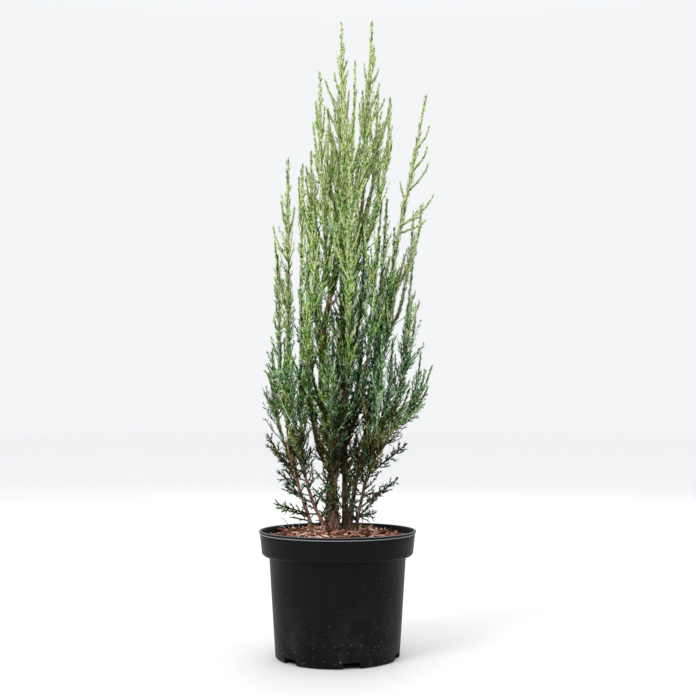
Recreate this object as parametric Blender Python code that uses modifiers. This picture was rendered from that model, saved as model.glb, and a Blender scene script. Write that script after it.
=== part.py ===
"""Potted columnar juniper: a nursery pot of bark mulch, upright stems and boughs, and masses of foliage.

Metres, Z up. The origin is the centre of the pot's flat underside, and the front of the plant faces -Y.
Each stem or bough is one tapering limb. Each mass of foliage is one stem with sprays that branch from it
by a seeded rule, and short side shoots on each spray, all fused into one solid that keeps to its own space.
"""
import math
import random

import bmesh
import bpy
import numpy as np
from mathutils import Matrix, Vector
from mathutils.bvhtree import BVHTree

# Pot
POT_HEIGHT = 0.2050
LIP_RADIUS = 0.1300
LIP_DEPTH = 0.0040
COLLAR_TOP_RADIUS = 0.1280
COLLAR_FOOT_RADIUS = 0.1250
COLLAR_DEPTH = 0.0312
SHOULDER_DEPTH = 0.0076
SHOULDER_ANGLES = (35, 65, 90)
BODY_TOP_RADIUS = 0.1128
BASE_RADIUS = 0.1020
FOOT_ROUNDING = 0.0030
WALL = 0.0025
FLOOR = 0.0035
FLOOR_INSET = 0.0010
POT_STEPS = 32
NOTCH_COUNT = 6
NOTCH_PHASE = math.radians(-77)
NOTCH_WIDTH = 0.028
NOTCH_HEIGHT = 0.0095
NOTCH_DEPTH = 0.012
NOTCH_BAND = 0.0120

# Mulch
MULCH_CROWN = 0.2020
MULCH_CROWN_RADIUS = 0.062
MULCH_EDGE = 0.1900
MULCH_RINGS = 3

# Clearances between solids
GAP = 0.0003
TIP_GAP = 0.0004
LIMB_CLEARANCE = 0.0010
MULCH_CLEARANCE = 0.006
CELL_MARGIN = 0.0012
MERGE = 0.00001
TOUCH = 0.0000002
SLIVER = 0.000002
SEED_TRIES = 8

# Seating of a limb's cut end on the bark of the limb that carries it
CAP_SAMPLES = 24
CAP_TRIES = 12
CAP_STEP = 0.8
AIM_RISE = 0.01

# Line of a limb: how its bends are rounded, how far it wanders, and the spacing of its rings
ROUNDING = 0.045
WANDER = 0.0016
WANDER_WAVES = (1.5, 3.5)
STEADY_LENGTH = 0.2
RING_SPACING = 0.044
TRUNK_RING_SPACING = 0.042
STEM_RING_SPACING = 0.046
SAMPLE_SPACING = 0.004
TAPER_POWER = 0.85

# A limb or stem that leaves another goes out at first and then turns up, as a power of the way left
TURN_UP = 2.6
STRAIGHT = 1.0
WAY_SHARES = (0.14, 0.32, 0.60, 1.0)

# Root flare of the limbs that stand in the mulch
GROUND = MULCH_CROWN + GAP
FOOT_RISE = 0.006
FLARE = 0.42
FLARE_HEIGHT = 0.016
FLARE_LOBES = 5
LOBES = 0.16
TRUNK_SIDES = 10

# Foliage rule, where a pair of values goes from the lowest foliage to the highest tip
FOLIAGE_FOOT = 0.30
FOLIAGE_TOP = 1.05
STEM_SIDES = 4
STEM_RADIUS = 0.0022
BARE_STEM = 0.030
BARE_TIP = 0.030
CORE_RADIUS = (0.0095, 0.0058)
CORE_POWER = 0.6
STEM_SHOOT_RISE = (0.040, 0.026)
STEM_SHOOT_REACH = (0.016, 0.0075)
STEM_SHOOT_SHARE = 0.6
END_SHOOT_SIZE = 0.5
END_SHOOT_RUN = 0.1
SPRAY_SIDES = 3
SPRAY_RINGS = 3
SPRAY_SPACING = 0.0360
SPACING_SPREAD = 0.5
SPRAY_LENGTH = (0.100, 0.058)
LENGTH_SPREAD = (0.85, 1.12)
SPRAY_LEAN = (math.radians(32), math.radians(15))
LEAN_SPREAD = (0.85, 1.2)
ROOT_LEAN = 1.15
TIP_LEAN = 0.55
TURN_SPREAD = 0.4
END_FULLNESS = 0.45
FULLNESS_GAIN = 1.3
SPRAY_RADII = (0.0020, 0.0044, 0.0035, 0.0)
SHOOT_RISE = (0.026, 0.017)
SHOOT_REACH = (0.0115, 0.0065)
SHOOT_SHARE = 0.75
GOLDEN_ANGLE = math.radians(137.5)
TRIES = (1.0, 0.8, 0.62, 0.45)
SHOOT_SAMPLES = (0.5, 0.75, 1.0)
EDGE_SAMPLES = (0.0, 0.33, 0.67, 1.0)

# Small twigs near the foot of the stems
FOOT_TWIG_SIDES = 3
FOOT_TWIG_RADIUS = 0.0016
FOOT_TWIG_RINGS = 0.013
FOOT_SHOOT_RISE = 0.010
FOOT_SHOOT_REACH = 0.008

# Stems in the mulch: way points from the ground to the tip, and the radius at foot and tip
STEMS = {
    "trunk": ([(-0.008, 0.000, GROUND), (-0.011, 0.002, 0.290), (0.004, 0.004, 0.385),
               (0.012, 0.006, 0.548), (0.036, 0.012, 0.690), (0.040, 0.013, 0.735)], 0.0096, 0.0030),
    "second_stem": ([(0.013, 0.012, GROUND), (0.012, 0.018, 0.310), (0.011, 0.042, 0.470)], 0.0062, 0.0026),
    "right_stem": ([(0.021, -0.008, GROUND), (0.030, -0.008, 0.300), (0.056, -0.006, 0.380),
                    (0.073, -0.004, 0.540), (0.089, 0.000, 0.622)], 0.0042, 0.0023),
    "right_low_stem": ([(0.031, -0.022, GROUND), (0.045, -0.030, 0.288), (0.092, -0.032, 0.400)],
                       0.0036, 0.0023),
    "left_stem": ([(-0.044, -0.006, GROUND), (-0.054, -0.008, 0.246), (-0.082, -0.010, 0.320),
                   (-0.082, -0.006, 0.430)], 0.0036, 0.0023),
    "left_inner_stem": ([(-0.022, -0.018, GROUND), (-0.057, -0.030, 0.289), (-0.060, -0.038, 0.450)],
                        0.0036, 0.0023),
}

# Boughs: the limb each leaves, the height, its tip or way points up to it, and the radius at foot and tip
BOUGHS = {
    "leader_bough": ("trunk", 0.328, [(-0.027, -0.012, 0.395), (-0.029, -0.016, 0.459),
                                      (-0.021, -0.018, 0.548), (0.001, -0.018, 0.664)], 0.0058, 0.0030),
    "front_bough": ("trunk", 0.300, [(0.014, -0.050, 0.420)], 0.0038, 0.0024),
    "front_right_bough": ("trunk", 0.372, [(0.046, -0.056, 0.465)], 0.0034, 0.0023),
    "back_left_bough": ("trunk", 0.292, [(-0.048, 0.050, 0.430)], 0.0040, 0.0024),
    "back_right_bough": ("second_stem", 0.300, [(0.060, 0.052, 0.440)], 0.0038, 0.0024),
}

# Masses of foliage that go on from the tip of a limb: the limb, and the tip of the mass
TOP_MASSES = {
    "right_leader_spire": ("trunk", (0.0585, 0.012, 1.068)),
    "left_leader_spire": ("leader_bough", (0.0065, -0.010, 1.062)),
    "right_spire": ("right_stem", (0.151, 0.002, 0.939)),
    "left_spire": ("left_stem", (-0.085, 0.002, 0.828)),
    "left_middle_spire": ("left_inner_stem", (-0.058, -0.030, 0.814)),
    "right_outer_spire": ("right_low_stem", (0.127, -0.002, 0.658)),
    "front_spire": ("front_bough", (0.020, -0.058, 0.806)),
    "front_right_spire": ("front_right_bough", (0.072, -0.070, 0.742)),
    "back_upper_spire": ("second_stem", (0.012, 0.062, 0.885)),
    "back_left_spire": ("back_left_bough", (-0.052, 0.064, 0.760)),
    "back_right_spire": ("back_right_bough", (0.086, 0.072, 0.776)),
}

# Masses that leave the side of a limb: the limb, the height where each leaves it, and the tip of the mass
SIDE_MASSES = {
    "upper_left_spire": ("leader_bough", 0.590, (-0.030, -0.022, 0.972)),
    "upper_front_spire": ("leader_bough", 0.620, (0.029, -0.042, 0.985)),
    "upper_right_spire": ("trunk", 0.640, (0.089, -0.010, 0.930)),
    "upper_back_spire": ("trunk", 0.610, (0.010, 0.034, 0.950)),
    "upper_back_right_spire": ("trunk", 0.680, (0.070, 0.044, 0.965)),
    "inner_left_spire": ("leader_bough", 0.470, (-0.046, 0.010, 0.846)),
    "left_outer_spire": ("left_stem", 0.370, (-0.099, -0.036, 0.660)),
    "front_left_spire": ("left_inner_stem", 0.400, (-0.038, -0.084, 0.728)),
    "right_upper_spire": ("right_stem", 0.580, (0.139, -0.038, 0.742)),
    "right_back_spire": ("right_stem", 0.500, (0.130, 0.046, 0.740)),
    "right_inner_spire": ("right_stem", 0.440, (0.094, -0.044, 0.704)),
    "back_middle_spire": ("second_stem", 0.410, (0.028, 0.088, 0.730)),
    "inner_front_spire": ("trunk", 0.352, (-0.030, -0.062, 0.600)),
    "inner_left_low_spire": ("leader_bough", 0.376, (-0.050, 0.004, 0.560)),
    "inner_right_low_spire": ("second_stem", 0.340, (0.042, 0.018, 0.540)),
    "inner_right_spire": ("trunk", 0.420, (0.044, -0.026, 0.680)),
    "low_left_spray": ("left_stem", 0.300, (-0.111, 0.016, 0.505)),
    "low_front_left_spray": ("left_inner_stem", 0.290, (-0.076, -0.086, 0.525)),
    "low_front_spray": ("trunk", 0.268, (-0.014, -0.096, 0.525)),
    "low_front_right_spray": ("right_low_stem", 0.270, (0.072, -0.090, 0.520)),
    "low_right_spray": ("right_low_stem", 0.360, (0.146, -0.016, 0.470)),
    "low_back_right_spray": ("second_stem", 0.262, (0.096, 0.084, 0.530)),
    "low_back_spray": ("second_stem", 0.280, (-0.010, 0.100, 0.535)),
    "low_back_left_spray": ("left_stem", 0.270, (-0.094, 0.070, 0.525)),
}

# Small twigs that leave the side of a limb low down, in the same form
FOOT_TWIGS = {
    "foot_left_twig": ("left_stem", 0.258, (-0.100, -0.006, 0.304)),
    "foot_left_low_twig": ("left_stem", 0.232, (-0.104, -0.030, 0.250)),
    "foot_left_upper_twig": ("left_stem", 0.284, (-0.118, -0.010, 0.364)),
    "foot_right_twig": ("right_low_stem", 0.242, (0.099, -0.036, 0.291)),
    "foot_right_low_twig": ("right_stem", 0.222, (0.066, 0.004, 0.233)),
    "foot_right_upper_twig": ("right_low_stem", 0.296, (0.114, -0.044, 0.348)),
    "foot_front_twig": ("trunk", 0.232, (-0.004, -0.084, 0.282)),
    "foot_back_twig": ("second_stem", 0.232, (0.022, 0.094, 0.284)),
}

POT_COLOUR = (0.013, 0.014, 0.016)
MULCH_COLOUR = (0.230, 0.095, 0.058)
BARK_COLOUR = (0.155, 0.085, 0.058)
FOLIAGE_COLOUR = (0.130, 0.240, 0.110)


def clear_scene():
    """Remove the objects of the open file, so that only the model is left."""
    for item in list(bpy.data.objects):
        bpy.data.objects.remove(item, do_unlink=True)


def new_collection(name):
    collection = bpy.data.collections.new(name)
    bpy.context.scene.collection.children.link(collection)
    return collection


def new_material(name, colour, roughness):
    """A plain material with the part's colour and roughness."""
    material = bpy.data.materials.new(name)
    material.use_nodes = True
    shader = material.node_tree.nodes["Principled BSDF"]
    shader.inputs["Base Color"].default_value = (*colour, 1.0)
    shader.inputs["Roughness"].default_value = roughness
    shader.inputs["Metallic"].default_value = 0.0
    return material


def add_object(name, data, collection, material=None):
    item = bpy.data.objects.new(name, data)
    if material:
        data.materials.append(material)
    collection.objects.link(item)
    return item


def add_shape(name, shape, collection, material=None):
    """Add an object made of a bmesh, and free the bmesh."""
    mesh = bpy.data.meshes.new(name)
    shape.to_mesh(mesh)
    shape.free()
    return add_object(name, mesh, collection, material)


def turned(name, profile, collection, material):
    """A turned solid from a profile of (radius, height) points that runs down its outer side."""
    mesh = bpy.data.meshes.new(name)
    edges = [(k, k + 1) for k in range(len(profile) - 1)]
    mesh.from_pydata([(radius, 0.0, height) for radius, height in profile], edges, [])
    item = add_object(name, mesh, collection, material)
    screw = item.modifiers.new("turn", "SCREW")
    screw.axis = "Z"
    screw.angle = math.tau
    screw.steps = POT_STEPS
    screw.render_steps = POT_STEPS
    screw.use_merge_vertices = True
    screw.merge_threshold = MERGE
    return item


def arc(centre, radius, start, end, count):
    """Points on an arc of a profile, as (radius, height), from one angle in degrees to another."""
    angles = [math.radians(start + (end - start) * k / count) for k in range(count + 1)]
    return [(centre[0] + radius * math.cos(a), centre[1] + radius * math.sin(a)) for a in angles]


def collar_foot():
    return POT_HEIGHT - LIP_DEPTH - COLLAR_DEPTH


def pot_outline():
    """Outer side of the pot from the lip's crest down to the underside."""
    bead = LIP_DEPTH / 2
    lip = arc((LIP_RADIUS - bead, POT_HEIGHT - bead), bead, 90, -60, 4)
    collar = [(COLLAR_TOP_RADIUS, POT_HEIGHT - LIP_DEPTH), (COLLAR_FOOT_RADIUS, collar_foot())]
    step = COLLAR_FOOT_RADIUS - BODY_TOP_RADIUS
    shoulder = [(BODY_TOP_RADIUS + step * math.cos(math.radians(angle)),
                 collar_foot() - SHOULDER_DEPTH * math.sin(math.radians(angle))) for angle in SHOULDER_ANGLES]
    slope = (BODY_TOP_RADIUS - BASE_RADIUS) / shoulder[-1][1]
    band = [(BASE_RADIUS + slope * NOTCH_BAND, NOTCH_BAND)]
    foot = arc((BASE_RADIUS - FOOT_ROUNDING, FOOT_ROUNDING), FOOT_ROUNDING, 0, -90, 2)
    return lip + collar + shoulder + band + foot


def make_pot(collection, cutters, material):
    """The pot is a thin turned shell with a flat floor, notched at its foot for drainage."""
    inside = [(COLLAR_TOP_RADIUS - WALL, POT_HEIGHT - LIP_DEPTH), (COLLAR_FOOT_RADIUS - WALL, collar_foot()),
              (BODY_TOP_RADIUS - WALL, collar_foot() - SHOULDER_DEPTH - WALL),
              (BASE_RADIUS - WALL - FLOOR_INSET, FLOOR), (0.0, FLOOR)]
    profile = inside[::-1] + pot_outline() + [(0.0, 0.0)]
    pot = turned("pot", profile, collection, material)
    for k in range(NOTCH_COUNT):
        name = "notch_%d" % (k + 1)
        angle = NOTCH_PHASE + k * math.tau / NOTCH_COUNT
        shape = bmesh.new()
        bmesh.ops.create_cube(shape, size=1.0)
        size = Matrix.Diagonal((2 * NOTCH_DEPTH, NOTCH_WIDTH, 2 * NOTCH_HEIGHT, 1.0))
        bmesh.ops.transform(shape, matrix=size, verts=shape.verts)
        cutter = add_shape(name, shape, cutters)
        cutter.location = (BASE_RADIUS * math.cos(angle), BASE_RADIUS * math.sin(angle), 0.0)
        cutter.rotation_euler = (0.0, 0.0, angle)
        cutter.hide_render = True
        cutter.display_type = "WIRE"
        cut = pot.modifiers.new(name, "BOOLEAN")
        cut.operation = "DIFFERENCE"
        cut.object = cutter


def make_mulch(collection, material):
    """The mulch fills the pot, crowned round the stems and lower at the wall."""
    clear = WALL + GAP
    lowest = FLOOR + GAP
    height_share = (MULCH_EDGE - collar_foot()) / COLLAR_DEPTH
    edge_radius = COLLAR_FOOT_RADIUS + (COLLAR_TOP_RADIUS - COLLAR_FOOT_RADIUS) * height_share - clear
    profile = [(0.0, MULCH_CROWN)]
    for k in range(MULCH_RINGS + 1):
        share = k / MULCH_RINGS
        fall = (1.0 - math.cos(math.pi * share)) / 2
        profile.append((MULCH_CROWN_RADIUS + (edge_radius - MULCH_CROWN_RADIUS) * share,
                        MULCH_CROWN + (MULCH_EDGE - MULCH_CROWN) * fall))
    profile += [(COLLAR_FOOT_RADIUS - clear, collar_foot()),
                (BODY_TOP_RADIUS - clear, collar_foot() - SHOULDER_DEPTH - WALL),
                (BASE_RADIUS - clear - FLOOR_INSET, lowest), (0.0, lowest)]
    turned("mulch", profile, collection, material)


def smooth_line(points, spacing, seed):
    """Evenly spaced points along straight runs, rounded at the bends, with a slight seeded wander."""
    corners = np.array(points, dtype=float)
    stations = np.concatenate([[0.0], np.cumsum(np.linalg.norm(np.diff(corners, axis=0), axis=1))])
    total = stations[-1]
    along = np.linspace(0.0, total, max(4, round(total / spacing) + 1))

    def place(distance):
        return np.stack([np.interp(distance, stations, corners[:, k]) for k in range(3)], axis=1)

    reach = np.minimum(ROUNDING, np.minimum(along, total - along))
    line = (place(along - reach) + 2 * place(along) + place(along + reach)) / 4
    source = random.Random(seed)
    share = along / total
    for axis in (0, 1):
        for waves in WANDER_WAVES:
            phase = source.uniform(0, math.tau)
            height = WANDER * min(1.0, total / STEADY_LENGTH) / waves
            line[:, axis] += height * np.sin(math.tau * waves * share + phase) * np.sin(math.pi * share)
    return line


def way_points(start, tip, power):
    """Points from a start to a tip that go out at first and then turn up, or straight for a power of one."""
    start, tip = np.array(start), np.array(tip)
    points = []
    for share in WAY_SHARES:
        out = 1.0 - (1.0 - share) ** power
        points.append(tuple(start + (tip - start) * np.array([out, out, share])))
    return points


def taper(count, foot_radius, tip_radius):
    """Radii along a limb, a little fuller near its foot than a straight taper."""
    share = np.linspace(0.0, 1.0, count)
    return tip_radius + (foot_radius - tip_radius) * (1 - share) ** TAPER_POWER


def dense_line(line):
    """The same line with points closer together, and how far along it each lies, from 0 to 1."""
    stations = np.concatenate([[0.0], np.cumsum(np.linalg.norm(np.diff(line, axis=0), axis=1))])
    along = np.linspace(0.0, stations[-1], max(2, int(stations[-1] / SAMPLE_SPACING)))
    points = np.stack([np.interp(along, stations, line[:, k]) for k in range(3)], axis=1)
    return points, along / stations[-1]


def place_at(limb, height):
    """The middle of a limb at a height."""
    line = limb["line"]
    return Vector([np.interp(height, line[:, 2], line[:, k]) for k in range(3)])


def around(axis, angle):
    """A direction square to an axis, at an angle round it."""
    axis = axis.normalized()
    guide = Vector((1.0, 0.0, 0.0)) if abs(axis.x) < 0.9 else Vector((0.0, 1.0, 0.0))
    across = axis.cross(guide).normalized()
    return across * math.cos(angle) + axis.cross(across) * math.sin(angle)


def side_foot(parent, height, aim, radius):
    """Foot of a limb that leaves its parent's side at a height, its cut end lying just clear of the bark."""
    centre = place_at(parent, height)
    along = (place_at(parent, height + AIM_RISE) - centre).normalized()
    towards = (Vector(aim) - centre).normalized()
    cosine = abs(towards.dot(along))
    bark = float(np.interp(height, parent["line"][:, 2], parent["radii"]))
    travel = (bark + radius * cosine) / math.sqrt(1 - cosine * cosine) + GAP
    rim = [around(towards, math.tau * k / CAP_SAMPLES) * radius for k in range(CAP_SAMPLES)]
    for attempt in range(CAP_TRIES):
        foot = centre + towards * travel
        gap = min(parent["surface"].find_nearest(foot + offset)[3] for offset in rim)
        travel -= (gap - GAP) * CAP_STEP
    return tuple(centre + towards * travel)


def side_points(parent, height, points, radius, power):
    """Points of a limb that leaves its parent's side, from its foot on."""
    if len(points) == 1:
        points = way_points(place_at(parent, height), points[0], power)
    return [side_foot(parent, height, points[0], radius)] + list(points)


def curve_tube(name, line, radii, collection, material):
    """A tapering tube with closed ends along a line of points."""
    curve = bpy.data.curves.new(name, "CURVE")
    curve.dimensions = "3D"
    curve.bevel_depth = 1.0
    curve.bevel_resolution = 1
    curve.use_fill_caps = True
    spline = curve.splines.new("POLY")
    spline.points.add(len(line) - 1)
    for point, place, radius in zip(spline.points, line, radii):
        point.co = (*place, 1.0)
        point.radius = radius
    return add_object(name, curve, collection, material)


def lobed_tube(name, line, radii, collection, material):
    """A loft of level rings whose foot spreads into the lobes of the root flare."""
    shape = bmesh.new()
    rings = []
    for place, radius in zip(line, radii):
        lobes = LOBES * math.exp(-(place[2] - GROUND) / FLARE_HEIGHT)
        ring = []
        for k in range(TRUNK_SIDES):
            angle = math.tau * k / TRUNK_SIDES
            reach = radius * (1.0 + lobes * math.sin(FLARE_LOBES * angle))
            offset = Vector((math.cos(angle), math.sin(angle), 0.0)) * reach
            ring.append(shape.verts.new(Vector(place) + offset))
        rings.append(ring)
    for low, high in zip(rings, rings[1:]):
        for k in range(TRUNK_SIDES):
            after = (k + 1) % TRUNK_SIDES
            shape.faces.new((low[k], low[after], high[after], high[k]))
    shape.faces.new(rings[0][::-1])
    shape.faces.new(rings[-1])
    return add_shape(name, shape, collection, material)


def surface_of(item):
    """The faces of an object as it stands, for measuring distances to it."""
    bpy.context.view_layer.update()
    depsgraph = bpy.context.evaluated_depsgraph_get()
    mesh = bpy.data.meshes.new_from_object(item.evaluated_get(depsgraph))
    shape = bmesh.new()
    shape.from_mesh(mesh)
    surface = BVHTree.FromBMesh(shape)
    shape.free()
    bpy.data.meshes.remove(mesh)
    return surface


def make_stems(collection, material):
    """The limbs that stand in the mulch, upright for a little way and flared at the foot."""
    limbs = {}
    for name, (points, foot_radius, tip_radius) in STEMS.items():
        foot = np.array(points[0])
        start = tuple(foot + np.array([0.0, 0.0, FOOT_RISE]))
        is_trunk = name == "trunk"
        line = smooth_line([start] + points[1:], TRUNK_RING_SPACING if is_trunk else RING_SPACING, name)
        radii = taper(len(line), foot_radius, tip_radius)
        line = np.concatenate([foot[None], line])
        radii = np.concatenate([radii[:1] * (1.0 + FLARE), radii])
        make_tube = lobed_tube if is_trunk else curve_tube
        item = make_tube(name, line, radii, collection, material)
        limbs[name] = {"line": line, "radii": radii, "surface": surface_of(item)}
    return limbs


def add_boughs(limbs, collection, material):
    """The limbs that leave another limb's side, each seated on the bark of the one that carries it."""
    for name, (parent, height, points, foot_radius, tip_radius) in BOUGHS.items():
        points = side_points(limbs[parent], height, points, foot_radius, TURN_UP)
        line = smooth_line(points, RING_SPACING, name)
        radii = taper(len(line), foot_radius, tip_radius)
        item = curve_tube(name, line, radii, collection, material)
        limbs[name] = {"line": line, "radii": radii, "surface": surface_of(item)}


def between(pair, height):
    """A value that goes from the first at the lowest foliage to the second at the top."""
    share = min(1.0, max(0.0, (height - FOLIAGE_FOOT) / (FOLIAGE_TOP - FOLIAGE_FOOT)))
    return pair[0] + (pair[1] - pair[0]) * share


def core_radii(line, radius):
    """Radii of a mass's stem: bare at its foot, then a slim core of scale leaves up to a pointed tip."""
    share = np.linspace(0.0, 1.0, len(line))
    radii = np.array([between(CORE_RADIUS, height) for height in line[:, 2]]) * (1.0 - share) ** CORE_POWER
    radii[:2] = radius
    return radii


def lay_out_stems(limbs):
    """Line and radii of the stem of each mass."""
    stems = {}
    for name, (parent, tip) in TOP_MASSES.items():
        end, before = Vector(limbs[parent]["line"][-1]), Vector(limbs[parent]["line"][-2])
        direction = (end - before).normalized()
        foot = end + direction * TIP_GAP
        bare = foot + direction * BARE_STEM
        points = [tuple(foot), tuple(bare)] + way_points(bare, tip, STRAIGHT)
        line = smooth_line(points, STEM_RING_SPACING, name)
        stems[name] = {"line": line, "radii": core_radii(line, float(limbs[parent]["radii"][-1]))}
    for name, (parent, height, tip) in SIDE_MASSES.items():
        points = side_points(limbs[parent], height, [tip], STEM_RADIUS, TURN_UP)
        line = smooth_line(points, STEM_RING_SPACING, name)
        stems[name] = {"line": line, "radii": core_radii(line, STEM_RADIUS)}
    for name, (parent, height, tip) in FOOT_TWIGS.items():
        points = side_points(limbs[parent], height, [tip], FOOT_TWIG_RADIUS, STRAIGHT)
        line = smooth_line(points, FOOT_TWIG_RINGS, name)
        radii = np.full(len(line), FOOT_TWIG_RADIUS)
        radii[-1] = 0.0
        stems[name] = {"line": line, "radii": radii}
    return stems


class Space:
    """The space round the stems: which stem a place belongs to, and how far it lies from the bark."""

    def __init__(self, limbs, stems):
        self.stems = {name: dense_line(stem["line"])[0] for name, stem in stems.items()}
        self.bark = []
        for limb in limbs.values():
            points, share = dense_line(limb["line"])
            self.bark.append((points, np.interp(share, np.linspace(0, 1, len(limb["radii"])), limb["radii"])))

    def is_clear(self, name, points):
        """True where the points stay in the named mass's own space and clear of every limb."""
        own = distance(points, self.stems[name]).min(axis=1)
        for other, cloud in self.stems.items():
            if other != name and np.any(own > distance(points, cloud).min(axis=1) - 2 * CELL_MARGIN):
                return False
        for cloud, radii in self.bark:
            if np.any((distance(points, cloud) - radii[None, :]).min(axis=1) < LIMB_CLEARANCE):
                return False
        return bool(np.all(points[:, 2] > MULCH_CROWN + MULCH_CLEARANCE))


def distance(points, cloud):
    return np.sqrt(((points[:, None, :] - cloud[None, :, :]) ** 2).sum(axis=2))


def bent_cone(points, radii, sides, turn):
    """A closed tapering shape: a cylinder with a loop at each inner point, moved onto the line of points."""
    last = len(points) - 1
    shape = bmesh.new()
    bmesh.ops.create_cone(shape, cap_ends=True, segments=sides, radius1=1.0, radius2=1.0, depth=last)
    for level in range(1, last):
        bmesh.ops.bisect_plane(shape, geom=shape.verts[:] + shape.edges[:] + shape.faces[:],
                               plane_co=(0, 0, level - last / 2), plane_no=(0, 0, 1))
    for vert in shape.verts:
        level = round(vert.co.z + last / 2)
        run = points[min(last, level + 1)] - points[max(0, level - 1)]
        rotation = run.to_track_quat("Z", "Y").to_matrix() @ Matrix.Rotation(turn, 3, "Z")
        across = Vector((vert.co.x, vert.co.y, 0.0)).normalized() * radii[level]
        vert.co = points[level] + rotation @ across
    bmesh.ops.remove_doubles(shape, verts=shape.verts, dist=MERGE)
    bmesh.ops.recalc_face_normals(shape, faces=shape.faces)
    shape.normal_update()
    return shape


def side_faces(shape):
    return [face for face in shape.faces if len(face.verts) == 4]


def edge_points(shape):
    """Points along every edge of a shape, to test where it lies."""
    return np.array([edge.verts[0].co.lerp(edge.verts[1].co, share)
                     for edge in shape.edges for share in EDGE_SAMPLES])


def raise_shoot(shape, face, along, rise, reach, is_clear):
    """Draw a face of a core out into a shoot that points up along it, unless it isn't clear there."""
    outward = (face.normal - along * face.normal.dot(along)).normalized()
    middle = face.calc_center_median()
    tip = middle + along * rise + outward * reach
    if is_clear(np.array([middle.lerp(tip, share) for share in SHOOT_SAMPLES])):
        centre = bmesh.ops.poke(shape, faces=[face])["verts"][0]
        centre.co = tip


def spray_line(start, along, outward, length, lean):
    """Points from the root to the tip of a spray that leans out and turns up along its stem."""
    points = [start]
    for k in range(SPRAY_RINGS):
        share = k / (SPRAY_RINGS - 1)
        angle = lean * (ROOT_LEAN + (TIP_LEAN - ROOT_LEAN) * share)
        run = along * math.cos(angle) + outward * math.sin(angle)
        points.append(points[-1] + run * length / SPRAY_RINGS)
    return points


def grow_sprays(seed, stem, is_clear, collection):
    """Sprays along a stem, each a slim core with shoots, made shorter or skipped where it isn't clear."""
    source = random.Random(seed)
    points = dense_line(stem["line"])[0]
    length = SAMPLE_SPACING * (len(points) - 1)
    for k in range(int((length - BARE_STEM - BARE_TIP) / SPRAY_SPACING)):
        station = BARE_STEM + SPRAY_SPACING * (k + source.uniform(0.0, SPACING_SPREAD))
        index = min(len(points) - 2, int(station / SAMPLE_SPACING))
        start = Vector(points[index])
        along = (Vector(points[index + 1]) - start).normalized()
        outward = around(along, k * GOLDEN_ANGLE + source.uniform(-TURN_SPREAD, TURN_SPREAD))
        fullness = min(1.0, END_FULLNESS + FULLNESS_GAIN * (1.0 - station / length))
        size = between(SPRAY_LENGTH, start.z) * source.uniform(*LENGTH_SPREAD) * fullness
        lean = between(SPRAY_LEAN, start.z) * source.uniform(*LEAN_SPREAD)
        turn = source.uniform(0, math.tau)
        chances = [source.random() for face in range(SPRAY_RINGS * SPRAY_SIDES)]
        for scale in TRIES:
            line = spray_line(start, along, outward, size * scale, lean)
            shape = bent_cone(line, SPRAY_RADII, SPRAY_SIDES, turn)
            if is_clear(edge_points(shape)):
                break
            shape.free()
        else:
            continue
        run = (line[-1] - line[1]).normalized()
        rise = between(SHOOT_RISE, start.z) * scale
        reach = between(SHOOT_REACH, start.z) * scale
        for face, chance in zip(side_faces(shape), chances):
            if chance < SHOOT_SHARE:
                raise_shoot(shape, face, run, rise, reach, is_clear)
        add_shape("spray", shape, collection)


def stem_shape(name, seed, stem, is_clear):
    """The stem of a mass, with shoots drawn out of its slim core above the bare foot."""
    source = random.Random(seed + " stem")
    small = name in FOOT_TWIGS
    line = [Vector(place) for place in stem["line"]]
    sides = FOOT_TWIG_SIDES if small else STEM_SIDES
    shape = bent_cone(line, stem["radii"], sides, source.uniform(0, math.tau))
    middles = [(low + high) / 2 for low, high in zip(line, line[1:])]
    for face in side_faces(shape):
        middle = face.calc_center_median()
        gaps = [(place - middle).length for place in middles]
        level = gaps.index(min(gaps))
        if level == 0 or source.random() > STEM_SHOOT_SHARE:
            continue
        along = (line[level + 1] - line[level]).normalized()
        rise = FOOT_SHOOT_RISE if small else between(STEM_SHOOT_RISE, middle.z)
        reach = FOOT_SHOOT_REACH if small else between(STEM_SHOOT_REACH, middle.z)
        size = min(1.0, END_SHOOT_SIZE + (line[-1] - middle).length / END_SHOOT_RUN)
        raise_shoot(shape, face, along, rise * size, reach * size, is_clear)
    return shape


def triangulated(mesh):
    """The mesh as triangles, by the first method that leaves every edge with two faces."""
    for method in ("BEAUTY", "EAR_CLIP"):
        shape = bmesh.new()
        shape.from_mesh(mesh)
        bmesh.ops.triangulate(shape, faces=shape.faces, quad_method="BEAUTY", ngon_method=method)
        if all(len(edge.link_faces) == 2 for edge in shape.edges):
            return shape
        shape.free()
    shape = bmesh.new()
    shape.from_mesh(mesh)
    bmesh.ops.poke(shape, faces=[face for face in shape.faces if len(face.verts) > 4])
    bmesh.ops.triangulate(shape, faces=shape.faces)
    return shape


def keep_main_shell(mesh):
    """Drop loose scraps and fill sealed hollows: only the largest closed shell stays."""
    shape = triangulated(mesh)
    left = set(shape.faces)
    shells = []
    while left:
        shell = [left.pop()]
        for face in shell:
            for edge in face.edges:
                for other in edge.link_faces:
                    if other in left:
                        left.remove(other)
                        shell.append(other)
        shells.append(shell)
    shells.sort(key=len)
    for shell in shells[:-1]:
        bmesh.ops.delete(shape, geom=shell, context="FACES")
    bmesh.ops.delete(shape, geom=[vert for vert in shape.verts if not vert.link_faces], context="VERTS")
    shape.to_mesh(mesh)
    shape.free()


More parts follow.
